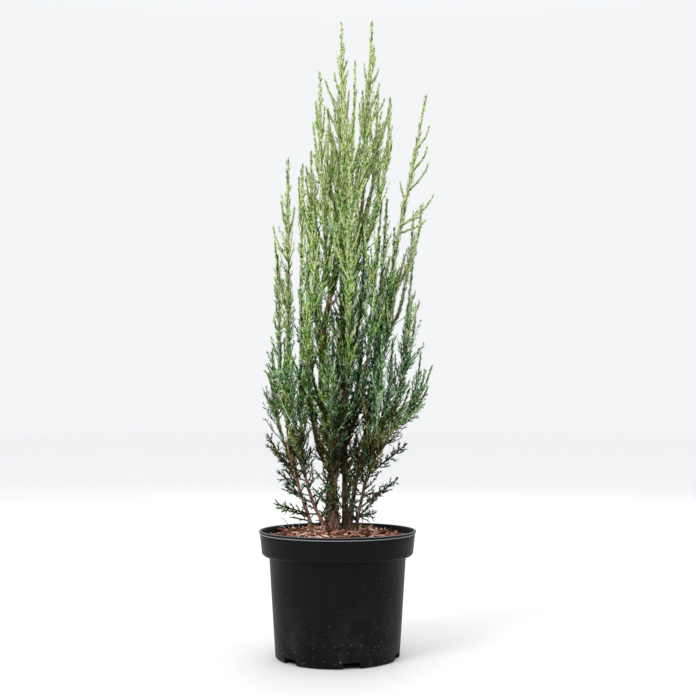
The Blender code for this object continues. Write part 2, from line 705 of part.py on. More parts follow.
def is_sound(mesh):
    """True where no face is a sliver and no two stretches of the surface meet along an edge."""
    shape = bmesh.new()
    shape.from_mesh(mesh)
    widths = [2 * face.calc_area() / max(edge.calc_length() for edge in face.edges) for face in shape.faces]
    bmesh.ops.remove_doubles(shape, verts=shape.verts, dist=TOUCH)
    closed = all(len(edge.link_faces) == 2 for edge in shape.edges)
    shape.free()
    return closed and min(widths) > SLIVER


def fused(core, sprays):
    """One closed mesh from a core and the collection of its sprays, whose objects are then removed."""
    union = core.modifiers.new("union", "BOOLEAN")
    union.operation = "UNION"
    union.operand_type = "COLLECTION"
    union.solver = "MANIFOLD"
    union.collection = sprays
    bpy.context.view_layer.update()
    depsgraph = bpy.context.evaluated_depsgraph_get()
    mesh = bpy.data.meshes.new_from_object(core.evaluated_get(depsgraph))
    keep_main_shell(mesh)
    for item in [core] + list(sprays.objects):
        bpy.data.objects.remove(item, do_unlink=True)
    bpy.data.collections.remove(sprays)
    return mesh


def make_mass(name, stem, space, collection, material):
    """One mass of foliage, grown again from another seed where its sprays don't fuse soundly."""
    def is_clear(points):
        return space.is_clear(name, points)

    for attempt in range(SEED_TRIES):
        seed = "%s %d" % (name, attempt)
        core = add_shape("core", stem_shape(name, seed, stem, is_clear), collection, material)
        sprays = new_collection("sprays")
        grow_sprays(seed, stem, is_clear, sprays)
        mesh = fused(core, sprays)
        if is_sound(mesh):
            break
    mesh.name = name
    collection.objects.link(bpy.data.objects.new(name, mesh))


def make_foot_twig(name, stem, space, collection, material):
    """A small low twig is only a stem with short shoots."""
    def is_clear(points):
        return space.is_clear(name, points)

    add_shape(name, stem_shape(name, name, stem, is_clear), collection, material)


def main():
    clear_scene()
    juniper = new_collection("potted_juniper")
    cutters = new_collection("cutters")
    plastic = new_material("pot_plastic", POT_COLOUR, 0.42)
    chips = new_material("bark_mulch", MULCH_COLOUR, 0.90)
    bark = new_material("bark", BARK_COLOUR, 0.85)
    green = new_material("foliage", FOLIAGE_COLOUR, 0.60)
    make_pot(juniper, cutters, plastic)
    make_mulch(juniper, chips)
    limbs = make_stems(juniper, bark)
    add_boughs(limbs, juniper, bark)
    stems = lay_out_stems(limbs)
    space = Space(limbs, stems)
    for name, stem in stems.items():
        make = make_foot_twig if name in FOOT_TWIGS else make_mass
        make(name, stem, space, juniper, green)


main()
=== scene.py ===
"""Looks of the potted columnar juniper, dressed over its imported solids.

Metres, Z up, in the frame of the solids: the origin is the middle of the pot's underside and the front is -Y.
The stems and boughs follow the lines of the solids with the relief of their bark. Each mass of foliage grows
from its own stem by the rule of the solids, carried on to finer shoots with scale leaves.
"""
import math
import random

import bpy
import numpy as np
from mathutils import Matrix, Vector, noise
from mathutils.kdtree import KDTree


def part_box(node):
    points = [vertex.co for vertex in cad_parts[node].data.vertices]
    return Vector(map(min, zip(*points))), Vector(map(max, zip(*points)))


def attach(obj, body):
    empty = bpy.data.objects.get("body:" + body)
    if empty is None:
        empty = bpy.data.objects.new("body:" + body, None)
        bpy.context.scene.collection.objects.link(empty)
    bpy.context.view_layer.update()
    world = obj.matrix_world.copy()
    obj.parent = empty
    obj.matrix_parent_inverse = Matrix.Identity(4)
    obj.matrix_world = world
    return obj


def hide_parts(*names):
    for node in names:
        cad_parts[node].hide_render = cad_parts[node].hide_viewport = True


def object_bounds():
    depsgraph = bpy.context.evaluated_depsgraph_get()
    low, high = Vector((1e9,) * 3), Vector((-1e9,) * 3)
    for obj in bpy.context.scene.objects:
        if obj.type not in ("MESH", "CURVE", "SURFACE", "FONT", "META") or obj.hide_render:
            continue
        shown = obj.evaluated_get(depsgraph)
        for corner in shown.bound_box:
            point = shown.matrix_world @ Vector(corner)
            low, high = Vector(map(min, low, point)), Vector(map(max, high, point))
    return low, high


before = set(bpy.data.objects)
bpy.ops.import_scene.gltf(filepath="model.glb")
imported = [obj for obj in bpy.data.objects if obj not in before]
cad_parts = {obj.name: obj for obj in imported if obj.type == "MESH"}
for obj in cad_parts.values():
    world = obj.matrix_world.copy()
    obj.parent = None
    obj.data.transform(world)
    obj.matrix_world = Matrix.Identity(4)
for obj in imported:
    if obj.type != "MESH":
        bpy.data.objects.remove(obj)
CAD_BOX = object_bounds()

# Stage
SKY_LOW = 0.93
SKY_HIGH = 1.50
SKY_START = 0.35
SKY_COLOUR = (0.97, 0.98, 1.0, 1)
FLOOR_SHADE = 0.72
FLOOR_RADIUS = 40.0
FLOOR_SIDES = 96
FLOOR_DROP = 0.0005
LIGHT_AIM = (0, 0, 0.5)
LIGHTS = (("key", (-2.2, -2.6, 3.0), 1.6, 90), ("fill", (3.0, -1.6, 1.6), 2.4, 10),
          ("back", (0.8, 3.0, 2.6), 2.4, 25))

# Camera
CAMERA_PLACE = (0.0172, -1.784, 0.3816)
CAMERA_PITCH = math.radians(94)
CAMERA_LENS = 55.2

# Pot
POT_HEIGHT = 0.2050
LIP_RADIUS = 0.1300
LIP_DEPTH = 0.0040
COLLAR_TOP_RADIUS = 0.1280
COLLAR_FOOT_RADIUS = 0.1250
COLLAR_DEPTH = 0.0312
SHOULDER_DEPTH = 0.0076
BODY_TOP_RADIUS = 0.1128
BASE_RADIUS = 0.1020
WALL = 0.0025
FLOOR = 0.0035
NOTCH_COUNT = 6
NOTCH_PHASE = math.radians(-77)
NOTCH_WIDTH = 0.028
NOTCH_HEIGHT = 0.0095
NOTCH_DEPTH = 0.012
POT_STEPS = 192
LIP_ARC = (150, -70, 14)
LIP_UNDERSIDE = ((0.0004, 0.0002), (0.0009, 0.0007), (0.0008, 0.0015), (-0.0002, 0.0024))
COLLAR_START = 0.0034
COLLAR_RUNS = 4
SHOULDER_TURN = 8
SHOULDER_RINGS = 10
NECK = ((0.0004, 0.0002), (-0.0001, 0.0012))
BODY_HEIGHTS = (0.12, 0.08, 0.04, NOTCH_HEIGHT + 0.001, 0.0045)
FOOT_ROUND = 0.003
FOOT_RINGS = 6
FLOOR_INSET = 0.001
MERGE_GAP = 0.00001
SHARP_ANGLE = math.radians(34)

# Finish of the pot: heights where it changes, distances below the lip's top and under it for the painted
# highlights, and colours
SCUFF_HEIGHTS = (0.01, 0.11)
SPECK_HEIGHTS = (0.03, 0.16)
SPECK_SIZE = (0.832, 0.842)
EDGE_HIGHLIGHT_DEPTHS = (0.0012, 0.0008)
HIGHLIGHT_LINE_FOOT = (0.0016, 0.0014)
HIGHLIGHT_LINE_TOP = (0.0005, 0.0003)
HIGHLIGHT_LINE_INSET = (0.0014, 0.0010)
BLACKS = ((0.0036, 0.0042, 0.0042, 1), (0.0058, 0.0064, 0.0062, 1))
SCUFF_COLOUR = (0.050, 0.052, 0.036, 1)
SPECK_COLOUR = (0.50, 0.49, 0.45, 1)
EDGE_HIGHLIGHT_COLOUR = (0.15, 0.15, 0.148, 1)
HIGHLIGHT_LINE_COLOUR = (0.36, 0.36, 0.355, 1)

# Mulch
MULCH_CROWN = 0.2020
MULCH_CROWN_RADIUS = 0.062
MULCH_EDGE = 0.1900
MOSS_PLACE = (0.052, 0.070)
MOSS_REACH = (0.030, 0.026)
MOSS_TUFTS = 1000
MOSS_SPREAD = 0.55
MOSS_LEAN = 0.5
MOSS_LENGTH = (0.005, 0.010)
MOSS_RADIUS = 0.0008
MOSS_COLOUR = (92, 100, 46)
MULCH_SEED = 7
MULCH_RINGS = 46
MULCH_SPOKES = 140
MULCH_GAP = 0.0002
MULCH_SINK = 0.0035
MULCH_WAVES = 90
MULCH_ROUGHNESS = 0.0016
SOIL_COLOUR = (40, 20, 10)
SHRED_COUNT = 2300
SHRED_KINDS = (("dark_shreds", (58, 26, 14), 0.28), ("brown_shreds", (116, 74, 54), 0.26),
               ("red_shreds", (164, 108, 86), 0.21), ("tan_shreds", (212, 170, 150), 0.16),
               ("pale_shreds", (232, 202, 182), 0.08))
SHRED_WALL_GAP = 0.006
SHRED_LENGTH = (0.009, 0.032)
SHORT_SHREDS = (0.35, 0.45)
SHRED_WIDTH = (0.0018, 0.0060)
SHRED_THICKNESS = (0.0006, 0.0020)
SHRED_PITCH = 0.24
SHRED_ROLL = 0.45
SHRED_SINK = 0.0030
SHRED_RISE = 0.0046
SHRED_OVERHANG = 0.003
SHORTEST_SHRED = 0.004
SHRED_BEND = 0.09
SHRED_SKEW = 0.10
SHRED_SECTIONS = ((-0.5, 0.45), (-0.18, 1.0), (0.2, 0.85), (0.5, 0.3))
SHRED_WIDTHS = (0.75, 1.2)
SHRED_CORNERS = ((-1, -1), (1, -1), (1, 1), (-1, 1))
STRAW_FEET = ((-0.078, 0.030), (-0.080, 0.026), (-0.066, 0.034), (-0.084, 0.040))
STRAW_TIPS = ((-0.096, 0.020, 0.026), (-0.070, 0.018, 0.016), (-0.063, 0.040, 0.020),
              (-0.100, 0.050, 0.010))
STRAW_POINTS = 7
STRAW_BOW = 0.006
STRAW_RADIUS = 0.0006
STRAW_COLOUR = (176, 168, 140)

# Lines of the limbs, as in the solids
ROUNDING = 0.045
WANDER = 0.0016
WANDER_WAVES = (1.5, 3.5)
STEADY_LENGTH = 0.2
RING_SPACING = 0.044
TRUNK_RING_SPACING = 0.042
STEM_RING_SPACING = 0.046
TAPER_POWER = 0.85
TURN_UP = 2.6
STRAIGHT = 1.0
WAY_SHARES = (0.14, 0.32, 0.60, 1.0)
GROUND = MULCH_CROWN + 0.0003
FOOT_RISE = 0.006
BARE_STEM = 0.030
TIP_GAP = 0.0004

# Bark relief
FLARE = 0.42
FLARE_HEIGHT = 0.016
FLARE_LOBES = 5
LOBES = 0.16
BARK_STEP = 0.0022
TRUNK_SIDES = 40
LIMB_SIDES = 20
BURIED = 0.008
KNOT_SPACING = 9
KNOT_SIZE = 0.0045
KNOT_REACH = 2.5
KNOT_FACING = 0.3
KNOT_SWELL = 0.20

# Ridges of the bark: how close they stand round and along a limb, the offset between limbs, the depth
RIDGES = ((2.6, 34, 9, 0.16), (6, 110, 5, 0.10))

# Dark, middle and light colours of each bark, and the limbs that don't have the dull one
BARKS = {"brown": ((50, 32, 26), (106, 74, 64), (196, 164, 152)),
         "tan": ((70, 46, 36), (146, 106, 88), (212, 180, 162)),
         "dull": ((40, 32, 22), (84, 68, 52), (156, 134, 114)),
         "red": ((62, 32, 24), (116, 64, 46), (160, 106, 84)),
         "twig": ((40, 36, 24), (72, 62, 42), (114, 100, 74)),
         "green_twig": ((66, 64, 36), (104, 104, 62), (134, 132, 84))}
LIMB_BARKS = {"trunk": "brown", "leader_bough": "red", "left_stem": "tan", "left_inner_stem": "tan"}

# Foliage rule, where a pair of values goes from the lowest foliage to the highest tip
FOLIAGE_FOOT = 0.30
FOLIAGE_TOP = 1.05
CHANGE_POWER = 0.75
SAMPLE_SPACING = 0.004
LIMB_CLEARANCE = 0.0004
REACH_MARGIN = (0.016, 0.016, 0.001)
STEM_RADIUS = 0.0022
STEM_TIP_RADIUS = 0.0010
STEM_TAPER_POWER = 0.9
STEM_SIDES = 7
FOOT_TWIG_RADIUS = 0.0016
FOOT_TWIG_TAPER = 0.5
FOOT_TWIG_SIDES = 6
BARE_SHARE = 0.06
GREEN_STEMS = 0.50
SPRAY_SPACING = 0.0052
SPRAY_SHARE = (1.0, 0.36)
SPRAY_LENGTH = (0.082, 0.050)
LENGTH_SPREAD = (0.55, 1.08)
SHORTEST_SPRAY = 0.007
TIP_SHARE = 0.60
TIP_BARE = 0.026
SPRAY_LEAN = (math.radians(36), math.radians(13))
LEAN_SPREAD = (0.6, 1.3)
ROOT_LEAN = 1.2
TIP_LEAN = 0.55
GOLDEN_ANGLE = math.radians(137.5)
TRIES = (1.0, 0.8, 0.62, 0.45, 0.3, 0.2)
SPACING_WANDER = 0.6
TURN_WANDER = 0.5
FREE_FROM = 2
SPRAY_POINTS = 6
SHOOT_POINTS = 3
SPRAY_RADIUS = 0.00090
SPRAY_NODE = 0.0034
SPRAY_BARE = 0.04
SPRAY_LEAF_GAIN = 1.1
CORD_TAPER = 0.6
CORD_SIDES = 3
SHOOT_RADIUS = 0.00075
SHOOT_NODE = 0.0029
LEAF_LENGTH = 0.0036
LEAF_HALF_WIDTH = 0.19
LEAF_KEEL = 0.15
LEAF_SPRING = (0.06, 0.22)
LEAF_START = 0.6
LEAF_END = 0.98
LEAF_TWIST = 0.35
LEAF_SIZES = (0.8, 1.2)
LEAF_ROOT = 0.8
SIDE_WANDER = (0.2, 0.9)
SIDE_END = 0.95
PAIR_TURN = 1.2
CORD_TURN = 1.7
BRANCHLET_SPACING = 0.0042
BRANCHLET_LENGTH = (0.0122, 0.0042)
BRANCHLET_LEAN = (math.radians(38), math.radians(22))
BRANCHLET_BARE = 0.07
BRANCHLET_TAPER = (1.15, 0.6)
BRANCHLET_SPREAD = (0.6, 1.15)
BRANCHLET_LIMIT = (0.7, 0.003)
BRANCHLET_LEAN_SPREAD = (0.7, 1.3)
BRANCHLET_TIP_LEAN = 0.7
BRANCHLET_LEAF_BARE = 0.08
# Painted shade near the foot of a spray: branchlets a level darker; near its tip half of them a level
# lighter, partly paler young growth, partly painted light
DARK_SHARE = 0.35
LIGHT_SHARE = 0.7
LIGHT_CHANCE = 0.5
BRANCHLET_SHADES = (-3, -2, -1, 0, 0, 1, 1)
CLOSE_SHADES = (-2, -1, 0, 0, 1)
# Painted shade: the cores of the cords drawn a level or two darker than their sprays
CORE_SHADES = (-2, -2, -2, -2, -1, -1)
# Most leaves keep their tone and some are darker; one in eight is three levels lighter as a painted highlight
LEAF_SHADES = (-2, -1, 0, 0, 0, 0, 1, 3)
DULL_LEAF_SHADES = (-1, 0, 0, 0, 0, 1)
LONG_BRANCHLET = 0.0115
TWIGLET_SPACING = 0.0048
TWIGLET_LENGTH = (0.0060, 0.0040)
TWIGLET_BARE = 0.3
CLOSE_SPACING = 0.0030
CLOSE_LENGTH = (0.0045, 0.0070)
CLOSE_GAIN = 0.026
CLOSE_LEAN = (math.radians(9), math.radians(22))
CLOSE_RADIUS = 0.00095
CLOSE_LEAF = 0.0041
CLOSE_END = 0.003
CLOSE_ROOT = 0.8
CLOSE_RUN = 0.2
CLOSE_LIMIT = (0.8, 0.002)
CLOSE_TIP_LEAN = 0.6
CLOSE_TONE_SPREAD = 0.06
CLOSE_BARE = 0.05
STEM_NODE = SPRAY_NODE * 0.8
STEM_LEAF = LEAF_LENGTH * 1.3

# Long whips that rise from the stems of the masses
WHIP_COUNTS = {"right_leader_spire": 3, "left_leader_spire": 5, "upper_left_spire": 10,
               "upper_front_spire": 9, "upper_right_spire": 4, "upper_back_spire": 8,
               "upper_back_right_spire": 4, "front_spire": 4,
               "right_spire": 0, "left_spire": 1, "left_middle_spire": 0, "low_left_spray": 1,
               "low_front_left_spray": 2, "left_outer_spire": 1, "low_right_spray": 1}
WHIP_COUNT = 2
WHIP_SHARE = 0.72
WHIP_LENGTH = (0.120, 0.180)
WHIP_LEAN = (math.radians(24), math.radians(15))
WHIP_TIP_LEAN = 0.3
WHIP_RADIUS_GAIN = 0.0007
WHIP_SHOOT_GAIN = 0.72
LONE_SHOOT_GAIN = 0.62
STEM_SHOOT_GAINS = {"right_spire": 1.08, "left_spire": 1.20, "left_middle_spire": 0.50,
                    "right_leader_spire": 1.05, "left_leader_spire": 1.10, "upper_front_spire": 0.75}
WHIP_SPRAY_LENGTH = ((0.020, 0.040), (0.010, 0.026))
WHIP_POINTS = 14
WHIP_STARTS = (0.04, 0.62)
WHIP_LEAN_SPREAD = (0.7, 1.3)
WHIP_TRIES = 4
WHIP_FREE_FROM = 4
WHIP_SIDES = 5
WHIP_BARE = 0.05
WHIP_SPRAY_START = 0.008
BELOW_TOP = 0.012

# How long the sprays of the slim spires are, and the lone shoots of the outline by height and tip
SLIM_MASSES = {"right_spire": 0.42, "left_spire": 0.75, "left_middle_spire": 0.50}
LONE_BEND = 1.5
LONE_SHOOTS = {
    "right_spire": [(0.700, (0.149, -0.008, 0.722)), (0.712, (0.163, 0.006, 0.768)),
                    (0.772, (0.154, -0.006, 0.820)), (0.806, (0.153, 0.008, 0.851)),
                    (0.843, (0.155, -0.002, 0.883)), (0.755, (0.106, 0.004, 0.790))],
    "right_leader_spire": [(1.040, (0.0590, 0.010, 1.0745)), (0.992, (0.0626, 0.004, 1.022)),
                           (0.972, (0.0640, -0.006, 1.004)), (0.958, (0.0705, 0.016, 0.990)),
                           (0.950, (0.0445, 0.006, 0.997)),
                           (0.890, (0.0803, 0.002, 0.934)), (0.905, (0.0705, -0.010, 0.956)),
                           (0.830, (0.0745, 0.004, 0.912)), (0.800, (0.0700, -0.006, 0.880)),
                           (0.790, (0.0790, 0.006, 0.895)), (0.880, (0.0480, -0.004, 0.965)),
                           (0.860, (0.0420, 0.008, 0.950)), (0.850, (0.0360, -0.006, 0.925))],
    "left_leader_spire": [(1.000, (0.0118, -0.006, 1.018)), (0.972, (0.0152, -0.016, 0.993)),
                          (0.955, (0.0170, -0.004, 0.980)), (0.930, (-0.0066, -0.004, 0.976)),
                          (0.905, (-0.0215, -0.012, 0.962)), (0.890, (-0.0130, -0.010, 0.940)),
                          (0.868, (-0.0180, 0.004, 0.918)), (0.838, (-0.0060, -0.020, 0.915)),
                          (0.815, (-0.0160, 0.012, 0.890)), (0.830, (-0.0010, 0.012, 0.930)),
                          (0.700, (-0.0140, -0.002, 0.806)), (0.740, (-0.0080, -0.026, 0.856)),
                          (0.860, (0.0010, -0.014, 0.950)), (0.880, (0.0100, 0.004, 0.965)),
                          (0.850, (0.0190, -0.004, 0.945))],
    "left_spire": [(0.700, (-0.0955, 0.002, 0.757)), (0.690, (-0.0735, 0.006, 0.748)),
                   (0.650, (-0.1105, 0.004, 0.715))],
    "upper_left_spire": [(0.780, (-0.0490, -0.018, 0.800)), (0.740, (-0.0530, -0.010, 0.773)),
                         (0.845, (-0.0215, -0.024, 0.912)), (0.815, (-0.0135, -0.020, 0.895)),
                         (0.800, (-0.0290, -0.010, 0.880)), (0.850, (-0.0375, -0.014, 0.925)),
                         (0.690, (-0.0160, -0.030, 0.812)), (0.715, (-0.0100, -0.016, 0.850))],
    "upper_front_spire": [(0.800, (0.0255, -0.040, 0.900)), (0.770, (0.0200, -0.036, 0.880))],
    "low_right_spray": [(0.400, (0.1390, -0.010, 0.500)), (0.380, (0.1570, -0.020, 0.478)),
                        (0.372, (0.1500, -0.012, 0.440)), (0.355, (0.1300, 0.004, 0.412))],
    "right_outer_spire": [(0.430, (0.1310, 0.006, 0.560)), (0.470, (0.1240, -0.012, 0.590))],
    "left_middle_spire": [(0.700, (-0.0655, -0.024, 0.792)), (0.730, (-0.0610, -0.026, 0.806))],
}

# Foliage on the limbs themselves
LIMB_FOLIAGE_FOOT = 0.300
LIMB_SPRAY_SPACING = 0.0062
LIMB_SPRAY_LENGTH = (0.060, 0.060)
LIMB_SPRAY_LEAN = (math.radians(38), math.radians(16))
GREEN_LIMBS = 0.380
BARE_LIMBS = {"trunk": 0.430, "leader_bough": 0.590}
LIMB_LAYERS = 4
LIMB_SHOOT_GAIN = 1.5
LIMB_START = 0.012
LIMB_BARE = 0.12
LIMB_LENGTH_SPREAD = (0.4, 1.0)
MULCH_CLEARANCE = 0.003
FOOT_SPRAY_START = 0.006
FOOT_SPRAY_OVERLAP = 0.02
FOOT_SPRAY_SPACING = {"left_inner_stem": 0.0048, "trunk": 0.0060, "left_stem": 0.0075, "second_stem": 0.0070,
                      "right_stem": 0.0095, "right_low_stem": 0.0080}
SLENDER_LIMBS = {"second_stem": 0.86, "left_stem": 0.76, "left_inner_stem": 0.74, "right_stem": 0.84,
                 "right_low_stem": 0.74}
FOOT_SPRAY_LENGTH = (0.016, 0.046)
FOOT_SPRAY_LEAN = (math.radians(30), math.radians(78))
FOOT_FANS = {"trunk": (19, (0.212, 0.380), -0.038), "left_inner_stem": (12, (0.213, 0.345), 0.028),
             "second_stem": (6, (0.215, 0.330), 0.022), "left_stem": (5, (0.212, 0.290), -0.030)}
FAN_REACH = (0.5, 1.0)
FAN_DEPTH = (-0.030, 0.020)
FAN_RISE = (0.012, 0.050)
FAN_POINTS = 6
FOOT_BOX_MARGIN = (0.003, 0.003, 0.003)
FOOT_SHOOT_START = 0.008
FOOT_SHOOT_END = 0.002
FOOT_SHOOT_SPACING = 0.0046
FOOT_SHOOT_LENGTH = (0.010, 0.018)
FOOT_SHOOT_LIMIT = (0.5, 0.004)
FOOT_SHOOT_LEAN = (0.6, 1.0)
FOOT_LEVELS = (0, 1, 1, 1, 2, 2)
KNOB_SPACING = 0.0050
KNOB_LENGTH = (0.0042, 0.0090)
KNOB_LEAN = (math.radians(35), math.radians(60))
KNOB_LEAF = 0.0038
KNOB_RADIUS = 0.0013
KNOB_NODE = 0.0027
KNOB_BARE = 0.1
KNOB_START = 0.15
KNOB_TAPER = (1.15, 0.5)
KNOB_TIP_LEAN = 0.7
KNOB_SHADES = (0, 0, 0, 1)
KNOB_SHOOT_RADIUS = 0.0011
KNOB_SHOOT_NODE = 0.0024
KNOB_SHOOT_LEAF = KNOB_LEAF * 0.9
LONE_TWIGS = {
    "left_stem": [(0.220, (-0.078, -0.014, 0.227)), (0.228, (-0.100, 0.000, 0.241)),
                  (0.258, (-0.090, -0.022, 0.273)), (0.320, (-0.118, -0.020, 0.345))],
    "left_inner_stem": [(0.232, (-0.062, -0.044, 0.236)), (0.250, (-0.074, -0.046, 0.268))],
    "right_stem": [(0.224, (0.052, -0.034, 0.236)), (0.246, (0.058, 0.014, 0.266))],
    "right_low_stem": [(0.226, (0.063, -0.030, 0.262)), (0.262, (0.090, -0.014, 0.272))],
}

# Tints by level from the darkest to the lightest, in a warm family, a cool one and a dull one for the foot;
# the levels carry painted light and shade as well as the foliage's own tones
LEVELS = 6
MOST_TRIANGLES = 190000
TINTS = [
    ("warm_shade", (14, 36, 2)),
    ("warm_dark", (34, 78, 10)),
    ("warm_middle", (74, 136, 28)),
    ("warm_green", (122, 182, 60)),
    ("warm_light", (190, 216, 122)),
    ("warm_pale", (236, 246, 182)),
    ("cool_shade", (14, 36, 14)),
    ("cool_dark", (38, 74, 36)),
    ("cool_middle", (72, 122, 68)),
    ("cool_green", (114, 164, 104)),
    ("cool_light", (162, 200, 148)),
    ("cool_pale", (214, 236, 194)),
    ("dull_shade", (24, 21, 4)),
    ("dull_dark", (54, 48, 14)),
    ("dull_middle", (92, 86, 34)),
    ("dull_green", (124, 120, 60)),
    ("dull_light", (162, 160, 106)),
    ("dull_pale", (208, 206, 162)),
    ("brown_tip", (134, 118, 104)),
]
BROWN_TIP = 18
DULL_TOP = 0.45
# Painted shade and light in ovals of the crown: middle, height, half width, half height and change of tone,
# darker below nought
PAINTED_SHADE_AND_LIGHT = (
    (-0.008, 0.600, 0.018, 0.075, -0.24), (0.048, 0.655, 0.014, 0.030, -0.14),
    (-0.073, 0.537, 0.012, 0.060, -0.15), (0.100, 0.490, 0.024, 0.060, -0.09),
    (0.017, 0.353, 0.022, 0.050, -0.16), (-0.043, 0.724, 0.012, 0.040, -0.09),
    (-0.001, 0.760, 0.012, 0.050, -0.09), (0.074, 0.600, 0.016, 0.030, 0.10),
    (0.088, 0.553, 0.010, 0.020, 0.14), (-0.019, 0.530, 0.010, 0.030, -0.15),
    (0.045, 0.770, 0.014, 0.070, 0.12), (0.024, 0.600, 0.010, 0.030, -0.10),
    (0.115, 0.470, 0.022, 0.080, -0.12), (-0.118, 0.450, 0.014, 0.070, -0.15),
    (-0.055, 0.340, 0.014, 0.050, -0.15), (-0.003, 0.870, 0.012, 0.030, 0.10),
    (0.064, 0.320, 0.018, 0.035, -0.20), (-0.036, 0.560, 0.012, 0.040, -0.08),
)
BROWN_TIP_SHARE = 0.6
BROWN_TIP_FOOT = 0.42
BROWN_TIP_RADIUS = 0.0011
BROWN_TIP_SIDES = 4
BRIGHT_MASSES = {"left_spire": 0.17, "front_spire": 0.15, "right_spire": 0.12, "inner_front_spire": 0.06,
                 "right_leader_spire": 0.20, "left_leader_spire": 0.20, "upper_left_spire": 0.06,
                 "upper_front_spire": 0.06, "front_left_spire": 0.05}
AXIS_LEAN = 0.05
AXIS_START = 0.3
CROWN_MIDDLE = 0.02

# Shares that the tone of a spray is made of, and where each starts and how long it takes to reach its whole
# Sprays lighter high up, partly for paler young growth and partly as painted light
HEIGHT_TONE = 0.79
HEIGHT_POWER = 0.9
# Painted shade and light: sprays darker inside the crown and lighter towards its outside
OUTER_TONE = 0.48
OUTER_FADE = 0.55
OUTER_MOST = 1.2
# Painted shade: sprays darker low down, under the crown
FOOT_TONE = 0.12
TONE_SPREAD = 0.085
HEIGHT_SPAN = (0.24, 0.72)
BRIGHT_SPAN = (0.36, 0.12)
FOOT_SPAN = (0.36, -0.10)
HIGH_SPAN = (0.46, 0.10)
DULL_SPAN = (DULL_TOP, -0.12)
RIGHT_SPAN = (0.07, 0.15)
DULL_MOST = 0.8
RIGHT_DULL_MOST = 0.22
COOL_START = 1.35
COOL_FALL = 1.70
COOL_RIGHT = 1.6
COOL_FOOT = 0.6
COOL_SHARES = (0.06, 0.92)
BRIGHT_COOL = 0.35
CROWN_HEIGHTS = (0.24, 0.36, 0.50, 0.66, 0.85, 1.07)
CROWN_RADII = (0.085, 0.125, 0.125, 0.105, 0.075, 0.030)

# Outline of the crown and the sky seen through it from the front, on the plane through the pot's axis
EDGE_HEIGHTS = (0.24, 0.29, 0.35, 0.41, 0.47, 0.53, 0.58, 0.65, 0.72, 0.79, 0.83, 0.86, 0.93, 0.98,
                1.00, 1.07)
LEFT_EDGES = (-0.100, -0.092, -0.118, -0.130, -0.130, -0.115, -0.104, -0.111, -0.110, -0.095, -0.090, -0.052,
              -0.037, -0.028, -0.006, -0.003)
RIGHT_EDGES = (0.080, 0.086, 0.114, 0.146, 0.162, 0.144, 0.140, 0.145, 0.158, 0.165, 0.158, 0.158,
               0.156, 0.075, 0.071, 0.066)
SKY_GAPS = (
    (-0.0725, 0.742, 0.0050, 0.056), (-0.0690, 0.828, 0.0110, 0.026), (-0.0716, 0.634, 0.0075, 0.034),
    (-0.0666, 0.570, 0.0055, 0.015), (-0.0481, 0.619, 0.0045, 0.010), (0.1095, 0.900, 0.0165, 0.070),
    (0.1010, 0.805, 0.0115, 0.058), (0.0700, 0.716, 0.0055, 0.026), (0.0945, 0.721, 0.0045, 0.030),
    (0.1190, 0.704, 0.0040, 0.026), (0.1010, 0.660, 0.0035, 0.020), (0.0905, 0.664, 0.0030, 0.018),
    (0.1135, 0.602, 0.0095, 0.030), (0.1040, 0.572, 0.0080, 0.030), (0.1320, 0.640, 0.0040, 0.022),
    (0.1350, 0.682, 0.0045, 0.013), (0.1210, 0.461, 0.0045, 0.008), (-0.0940, 0.358, 0.0080, 0.036),
    (-0.1127, 0.361, 0.0055, 0.007), (-0.0657, 0.249, 0.0060, 0.007), (-0.0870, 0.247, 0.0050, 0.008),
    (-0.0215, 0.937, 0.0045, 0.019), (-0.0112, 0.895, 0.0030, 0.012), (0.0211, 0.920, 0.0045, 0.020),
    (0.0620, 0.879, 0.0045, 0.016), (0.0970, 0.334, 0.0110, 0.013), (-0.1000, 0.300, 0.0080, 0.012),
    (0.0350, 1.020, 0.0120, 0.034), (0.0945, 0.545, 0.0055, 0.018), (0.0320, 0.871, 0.0050, 0.026),
    (-0.0370, 0.456, 0.0045, 0.018), (-0.0930, 0.495, 0.0050, 0.020), (-0.0400, 0.229, 0.0085, 0.010),
    (0.0680, 0.628, 0.0040, 0.022), (0.0480, 0.257, 0.0105, 0.006), (0.0565, 0.779, 0.0045, 0.021),
    (-0.0315, 0.307, 0.0055, 0.009), (-0.0425, 0.356, 0.0050, 0.014), (-0.0665, 0.495, 0.0040, 0.013),
    (0.0830, 0.337, 0.0060, 0.009), (0.0160, 0.954, 0.0035, 0.016), (-0.0250, 0.904, 0.0030, 0.016),
    (0.0220, 0.268, 0.0040, 0.009), (-0.0290, 0.247, 0.0040, 0.009), (-0.0515, 0.263, 0.0060, 0.006),
    (-0.0445, 0.386, 0.0050, 0.007),
)
SKY_SLITS = (
    ((0.024, 0.110), (0.520, 0.740), 70), ((-0.110, -0.030), (0.440, 0.700), 60),
    ((-0.128, -0.030), (0.300, 0.440), 80), ((0.060, 0.120), (0.330, 0.540), 44),
    ((-0.040, 0.060), (0.300, 0.470), 22), ((-0.060, -0.012), (0.225, 0.340), 26),
    ((0.024, 0.080), (0.225, 0.340), 22), ((-0.040, 0.088), (0.700, 0.960), 40),
)
SLIT_SEED = 11
SLIT_WIDTH = (0.0008, 0.0015)
SLIT_HEIGHT = (0.003, 0.009)
SLIT_FAN = 2.5
SKY_GRID = 0.001
SKY_MARGIN = 0.03

